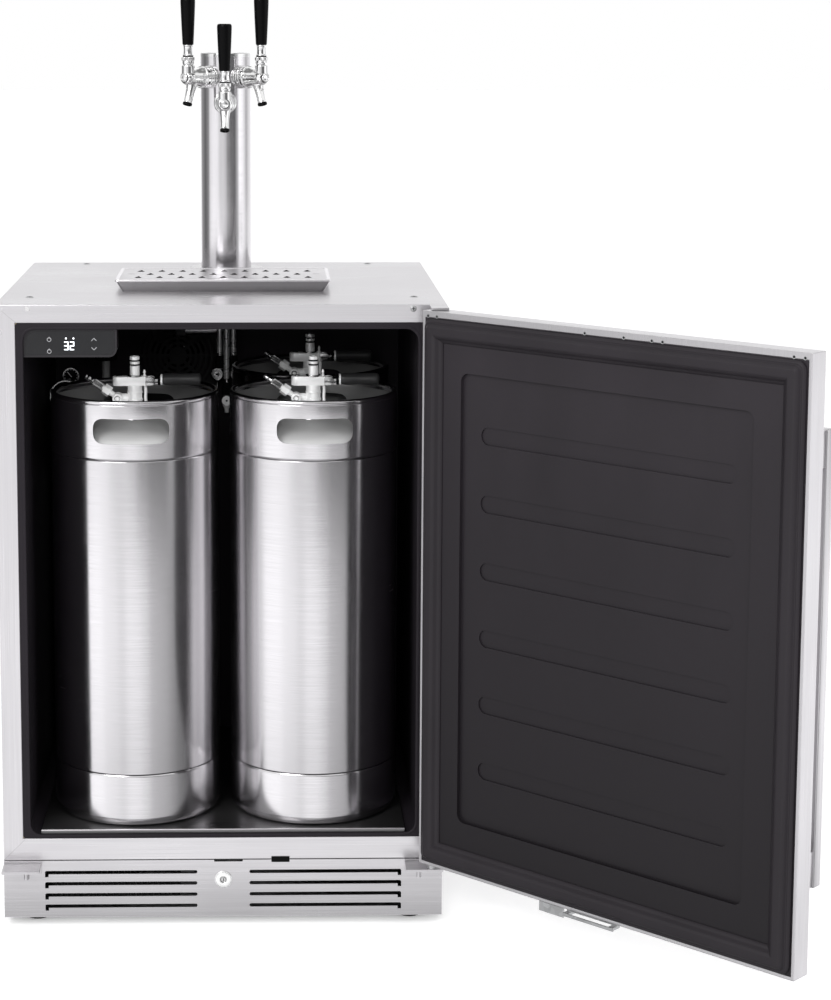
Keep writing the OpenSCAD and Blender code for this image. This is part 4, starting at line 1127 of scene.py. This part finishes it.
def gas():
    """Regulator with its gauges, and the valve's wheel."""
    x, y, _ = middle_mm("gas_cylinder")
    outlet, along = 639, (1, 0, 0)
    block_x = -226
    stem = [(0, 0), (10, 0), (10, 26.5), (0, 26.5)]
    nut = [(0, 0), (13, 0), (13, 12), (0, 12)]
    body = [(0, 0), (14, 0), (16, 2), (16, 30), (13, 34), (13, 38), (9, 43), (0, 43)]
    front_post = [(0, 650), (5, 650), (5, 664), (6.4, 665), (6.4, 671), (5, 672), (0, 672)]
    back_post = [(0, 660), (5, 660), (5, 692), (6, 693), (6, 704), (0, 704)]
    solids = [turned(stem, BRASS, (x - 46, y, outlet), along, 0.8),
              turned(nut, BRASS, (x - 35, y, outlet), along, 0.8, 6),
              turned(body, BRASS, (block_x, y - 14, 625), radius=1.2, turns=64),
              rod(8, 14, BRASS, (block_x, y - 14, 645), (0, 1, 0)),
              turned(front_post, BRASS, (-234, 70, 0), radius=0.4),
              turned(back_post, BRASS, (-232, 92, 0), radius=0.4)]
    solids += gauge(-238, 690, 25, 58, 16)
    solids += gauge(-232, 716, 14, 84, 12)
    make("gas_regulator_set", solids, nodes=("gas_regulator",))
    at, size = seated("gas_valve_wheel")
    high = size.z
    rim = [(3.2, 2), (9, 2), (10, 0), (17, 0), (17, high), (10, high), (9, high - 2), (3.2, high - 2)]
    hub = [(0, high - 4), (3.1, high - 4), (3.1, high - 1), (0, high - 0.6)]
    wheel = spun([(rim, BLACK, 1.6, 128, (8, 2.4)), (hub, BRASS, 0.4)], at.translation / MM)
    make("gas_wheel_grip", wheel, body="gas_wheel", nodes=("gas_valve_wheel",))


# ---- drip tray

def drip_tray():
    """Pressed tray with leaning walls and a rolled rim; the walls are a darker copy of the steel, painted
    shade, and the rim a paler copy, a painted highlight.
    """
    at, (width, depth, high) = seated("drip_tray")
    wall = [(10, 0), (1.4, high - 2.6), (4.8, high - 2.6), (17, 1.2)]
    lip = [(0.2, high - 3.4), (0, high - 2.2), (0.4, high - 0.4), (1.8, high), (4.4, high), (5.2, high - 0.6),
           (5.2, high - 3.0), (3.0, high - 3.4)]

    def around(section, material, closed):
        vertices = []
        rings = []
        for inset, z in fillet(section, 0.7, closed=closed):
            x, y = width / 2 - inset, depth / 2 - inset
            outline = round_rectangle(-x, -y, x, y, 5)
            rings.append(list(range(len(vertices), len(vertices) + len(outline))))
            vertices.extend((p[0], p[1], z) for p in outline)
        ends = [] if closed else [rings[0], rings[-1]]
        return Solid(vertices, skin(rings, closed) + ends, material)

    tray = [around(wall, STEEL_SHADED, False), around(lip, LIP_PAINTED_HIGHLIGHT, True)]
    make("drip_tray_pressed", tray, at, "tray", ("drip_tray",))


def drip_grille():
    """Punched plate: staggered teardrop holes, and a slit and a finger bar at each end."""
    at, (width, depth, high) = seated("drip_grille")
    thick, end_bar, slit_x = 1.8, 5.3, 132
    pitch, row_pitch = 30, 42
    plate = round_rectangle(-width / 2, -depth / 2, width / 2, depth / 2, 4)
    solids = [prism(plate, thick, STEEL_X, 0.5)]
    outlines = []
    for row in (-1, 0, 1):
        for column in range(9 if row else 8):
            x, y = (column - (4 if row else 3.5)) * pitch, row * row_pitch - 6
            outlines.append(arc(x, y, 5.2, 150, 240, 14) + [(x, y + 19)])
    for side in (-1, 1):
        x = side * (width / 2 - end_bar)
        solids.append(block((x - 3.5, -50, 1.2), (x + 3.5, 50, high), CHROME_SHADED, 0.8))
        x = side * slit_x
        outlines.append(round_rectangle(x - 5, -2, x + 5, 2, 4))
    piece = make("drip_grille_punched", solids, at, "grille", ("drip_grille",))
    through = Matrix.Translation((0, 0, -2))
    pierce(piece, [prism(outline, 6, RUBBER, 0, through) for outline in outlines])


# ---- door

def gasket():
    """Bellows seal: a foot with a lip at each side, and a bulb that meets the frame."""
    lo, hi = local_box_mm("door_gasket", DOOR)
    foot, tip = lo.y, hi.y
    section = [(0.5, foot + 0.1), (0.5, foot + 3.2), (3.2, foot + 5.6), (5.6, foot + 5.0), (7.4, tip - 3.0),
               (10.5, tip - 0.3), (20.5, tip - 0.1), (24.0, tip - 2.4), (27.0, foot + 5.0),
               (29.6, foot + 3.4), (31.4, foot + 1.2), (31.4, foot + 0.1)]
    opened = DOOR.copy()
    opened.translation /= MM
    seal = hoop(lo.x, lo.z, hi.x, hi.z, 14, section, GASKET, 1.0).moved(opened)
    make("door_bellows_seal", [seal], CABINET, "door", ("door_gasket",))


def door_handle():
    """Square bar with soft edges on two feet, each with its joint line."""
    lo, hi = local_box_mm("door_handle", DOOR)
    foot_h, bar_t = 48, 16
    x0, x1, y0, y1 = lo.x, hi.x, lo.y + bar_t, hi.y
    solids = [block(lo, (x1, y0, hi.z), STEEL_Z, 1.8)]
    for z0, z1 in ((lo.z, lo.z + foot_h), (hi.z - foot_h, hi.z)):
        solids.append(block((x0 + 2, y0 - 2, z0 + 0.6), (x1 - 2, y1 - 1.2, z1 - 0.6), STEEL_Z, 1.4))
        solids.append(block((x0 + 2.6, y1 - 1.6, z0 + 1.2), (x1 - 2.6, y1, z1 - 1.2), RUBBER, 0.4))
    make("door_bar_handle", solids, DOOR, "door", ("door_handle",))


def door_rim_plugs():
    """Small countersunk plugs along the inner rim, over the hinge and the spare hinge."""
    hi = local_box_mm("door_skin", DOOR)[1]
    ring = [(1.5, 0), (2.6, 0), (2.5, 0.35), (1.6, 0.3)]
    solids = []
    for x in (288.5, 273.4, 30.3, -29.6, -71.9, -87.6, -273.4, -288.5):
        place = (x, hi.y - 0.05, hi.z - 6.5)
        solids.append(turned(ring, GALVANISED, place, (0, 1, 0), 0.1, 24))
        solids.append(rod(1.7, 0.25, RUBBER, place, (0, 1, 0), 0.05, 20))
    make("door_rim_plugs", solids, DOOR, "door")


# ---- studio

# Compass degrees and brightness of the room's uprights; 0 degrees is in front of the door side.
UPPER_BANDS = [(-180, 1.24), (-158, 1.1), (-134, 0.36), (-108, 0.2), (-88, 0.34), (-74, 1.1), (-56, 1.25),
               (-40, 1.2), (-26, 0.84), (-13, 0.86), (-2, 0.68), (9, 0.24), (26, 0.14), (42, 0.13), (54, 0.6),
               (66, 1.7), (80, 1.5), (92, 1.1), (108, 0.6), (130, 1.0), (155, 1.2), (180, 1.24)]
LOWER_BANDS = [(-180, 1.1), (-130, 0.5), (-108, 0.1), (-92, 0.14), (-82, 0.9), (-68, 1.6), (-50, 1.6),
               (-40, 1.42), (-28, 1.36), (-18, 1.2), (-7, 1.44), (4, 1.42), (15, 1.2), (24, 0.86), (36, 0.76),
               (44, 0.68), (53, 0.5), (63, 0.34), (76, 0.3), (88, 1.5), (120, 1.7), (180, 1.1)]


class Room(Nodes):
    """The world's nodes: soft uprights, and steps between heights."""

    def bands(self, direction, stops):
        """Soft dark and bright uprights round the compass."""
        split = self.add("SeparateXYZ", {0: direction}).outputs
        angle = self.math("ARCTAN2", split[0], self.math("MULTIPLY", split[1], -1.0))
        ramp = self.add("ValToRGB", {0: self.range(angle, -math.pi, math.pi)})
        ramp.color_ramp.interpolation = "EASE"
        elements = ramp.color_ramp.elements
        while len(elements) < len(stops):
            elements.new(0.5)
        for element, (degrees, value) in zip(elements, stops):
            element.position = (degrees + 180) / 360
            element.color = (value, value, value * 1.01, 1)
        return ramp.outputs[0]

    def step(self, value, low, high):
        return self.range(value, low, high, interpolation_type="SMOOTHSTEP")


def studio_world():
    """White room with soft uprights, a dark ring overhead and a shaded foot, for the polished parts."""
    world = bpy.data.worlds.new("studio")
    scene.world = world
    world.use_nodes = True
    world.node_tree.nodes.clear()
    kit = Room(world.node_tree)
    direction = kit.add("TexCoord").outputs["Generated"]
    height = kit.add("SeparateXYZ", {0: direction}).outputs[2]
    level = kit.step(height, -0.118, -0.102)
    room = kit.mix(level, kit.bands(direction, LOWER_BANDS), kit.bands(direction, UPPER_BANDS))
    for low, high, value in ((0.25, 0.45, 1.15), (0.55, 0.68, 0.25), (0.78, 0.9, 1.3)):
        room = kit.mix(kit.step(height, low, high), room, grey(value))
    room = kit.mix(kit.range(height, -0.6, -0.33, 0.6, 0.0), room, grey(0.1))
    seen = kit.add("LightPath").outputs["Is Camera Ray"]
    background = kit.add("Background", {0: kit.mix(seen, room, grey(1)), 1: 1.0})
    kit.add("OutputWorld", {0: background.outputs[0]})


def floor_material():
    """Pale matt paint with a faint cloudiness."""
    material = bpy.data.materials.new("pale_floor")
    material.use_nodes = True
    material.node_tree.nodes.clear()
    kit = Nodes(material.node_tree)
    place = kit.add("NewGeometry").outputs["Position"]
    patches = kit.add("TexNoise", {"Vector": place, "Scale": 1.5}).outputs["Fac"]
    matt = kit.add("BsdfDiffuse", {0: kit.mix(patches, grey(0.9), grey(0.93))})
    glow = kit.add("Emission", {0: grey(1), 1: 0.25})
    plain = kit.add("AddShader", {0: matt.outputs[0], 1: glow.outputs[0]})
    kit.add("OutputMaterial", {0: plain.outputs[0]})
    return material


def soft_light(name, place, target, size, power, mirrored=True):
    data = bpy.data.lights.new(name, "AREA")
    data.shape = "RECTANGLE"
    data.size = size[0]
    data.size_y = size[1]
    data.energy = power
    light = bpy.data.objects.new(name, data)
    scene.collection.objects.link(light)
    light.location = place
    light.rotation_euler = (Vector(target) - Vector(place)).to_track_quat("-Z", "Y").to_euler()
    light.visible_glossy = mirrored


def floor():
    mesh = bpy.data.meshes.new("floor")
    reach = 40
    corners = [(-reach, -reach, 0), (reach, -reach, 0), (reach, reach, 0), (-reach, reach, 0)]
    mesh.from_pydata(corners, [], [(0, 1, 2, 3)])
    mesh.materials.append(floor_material())
    ground = bpy.data.objects.new("floor", mesh)
    scene.collection.objects.link(ground)
    ground.visible_glossy = False


def studio():
    scene.view_settings.view_transform = "Standard"
    studio_world()
    floor()
    soft_light("key", (-1.6, -2.6, 2.6), (0, 0, 0.6), (1.6, 1.6), 55)
    soft_light("fill", (2.2, -2.4, 1.6), (0.2, 0, 0.6), (1.0, 2.0), 18, False)
    soft_light("front", (0.1, -3.6, 1.7), (0, 0, 0.5), (1.4, 0.7), 60, False)


# ---- everything

for build in (looks, cabinet_screws, levelling_feet, bay_trim, lock, control_panel, tower, taps, kegs,
              couplers, beer_lines, tower_duct, gas, drip_tray, drip_grille, gasket, door_handle,
              door_rim_plugs, studio):
    build()
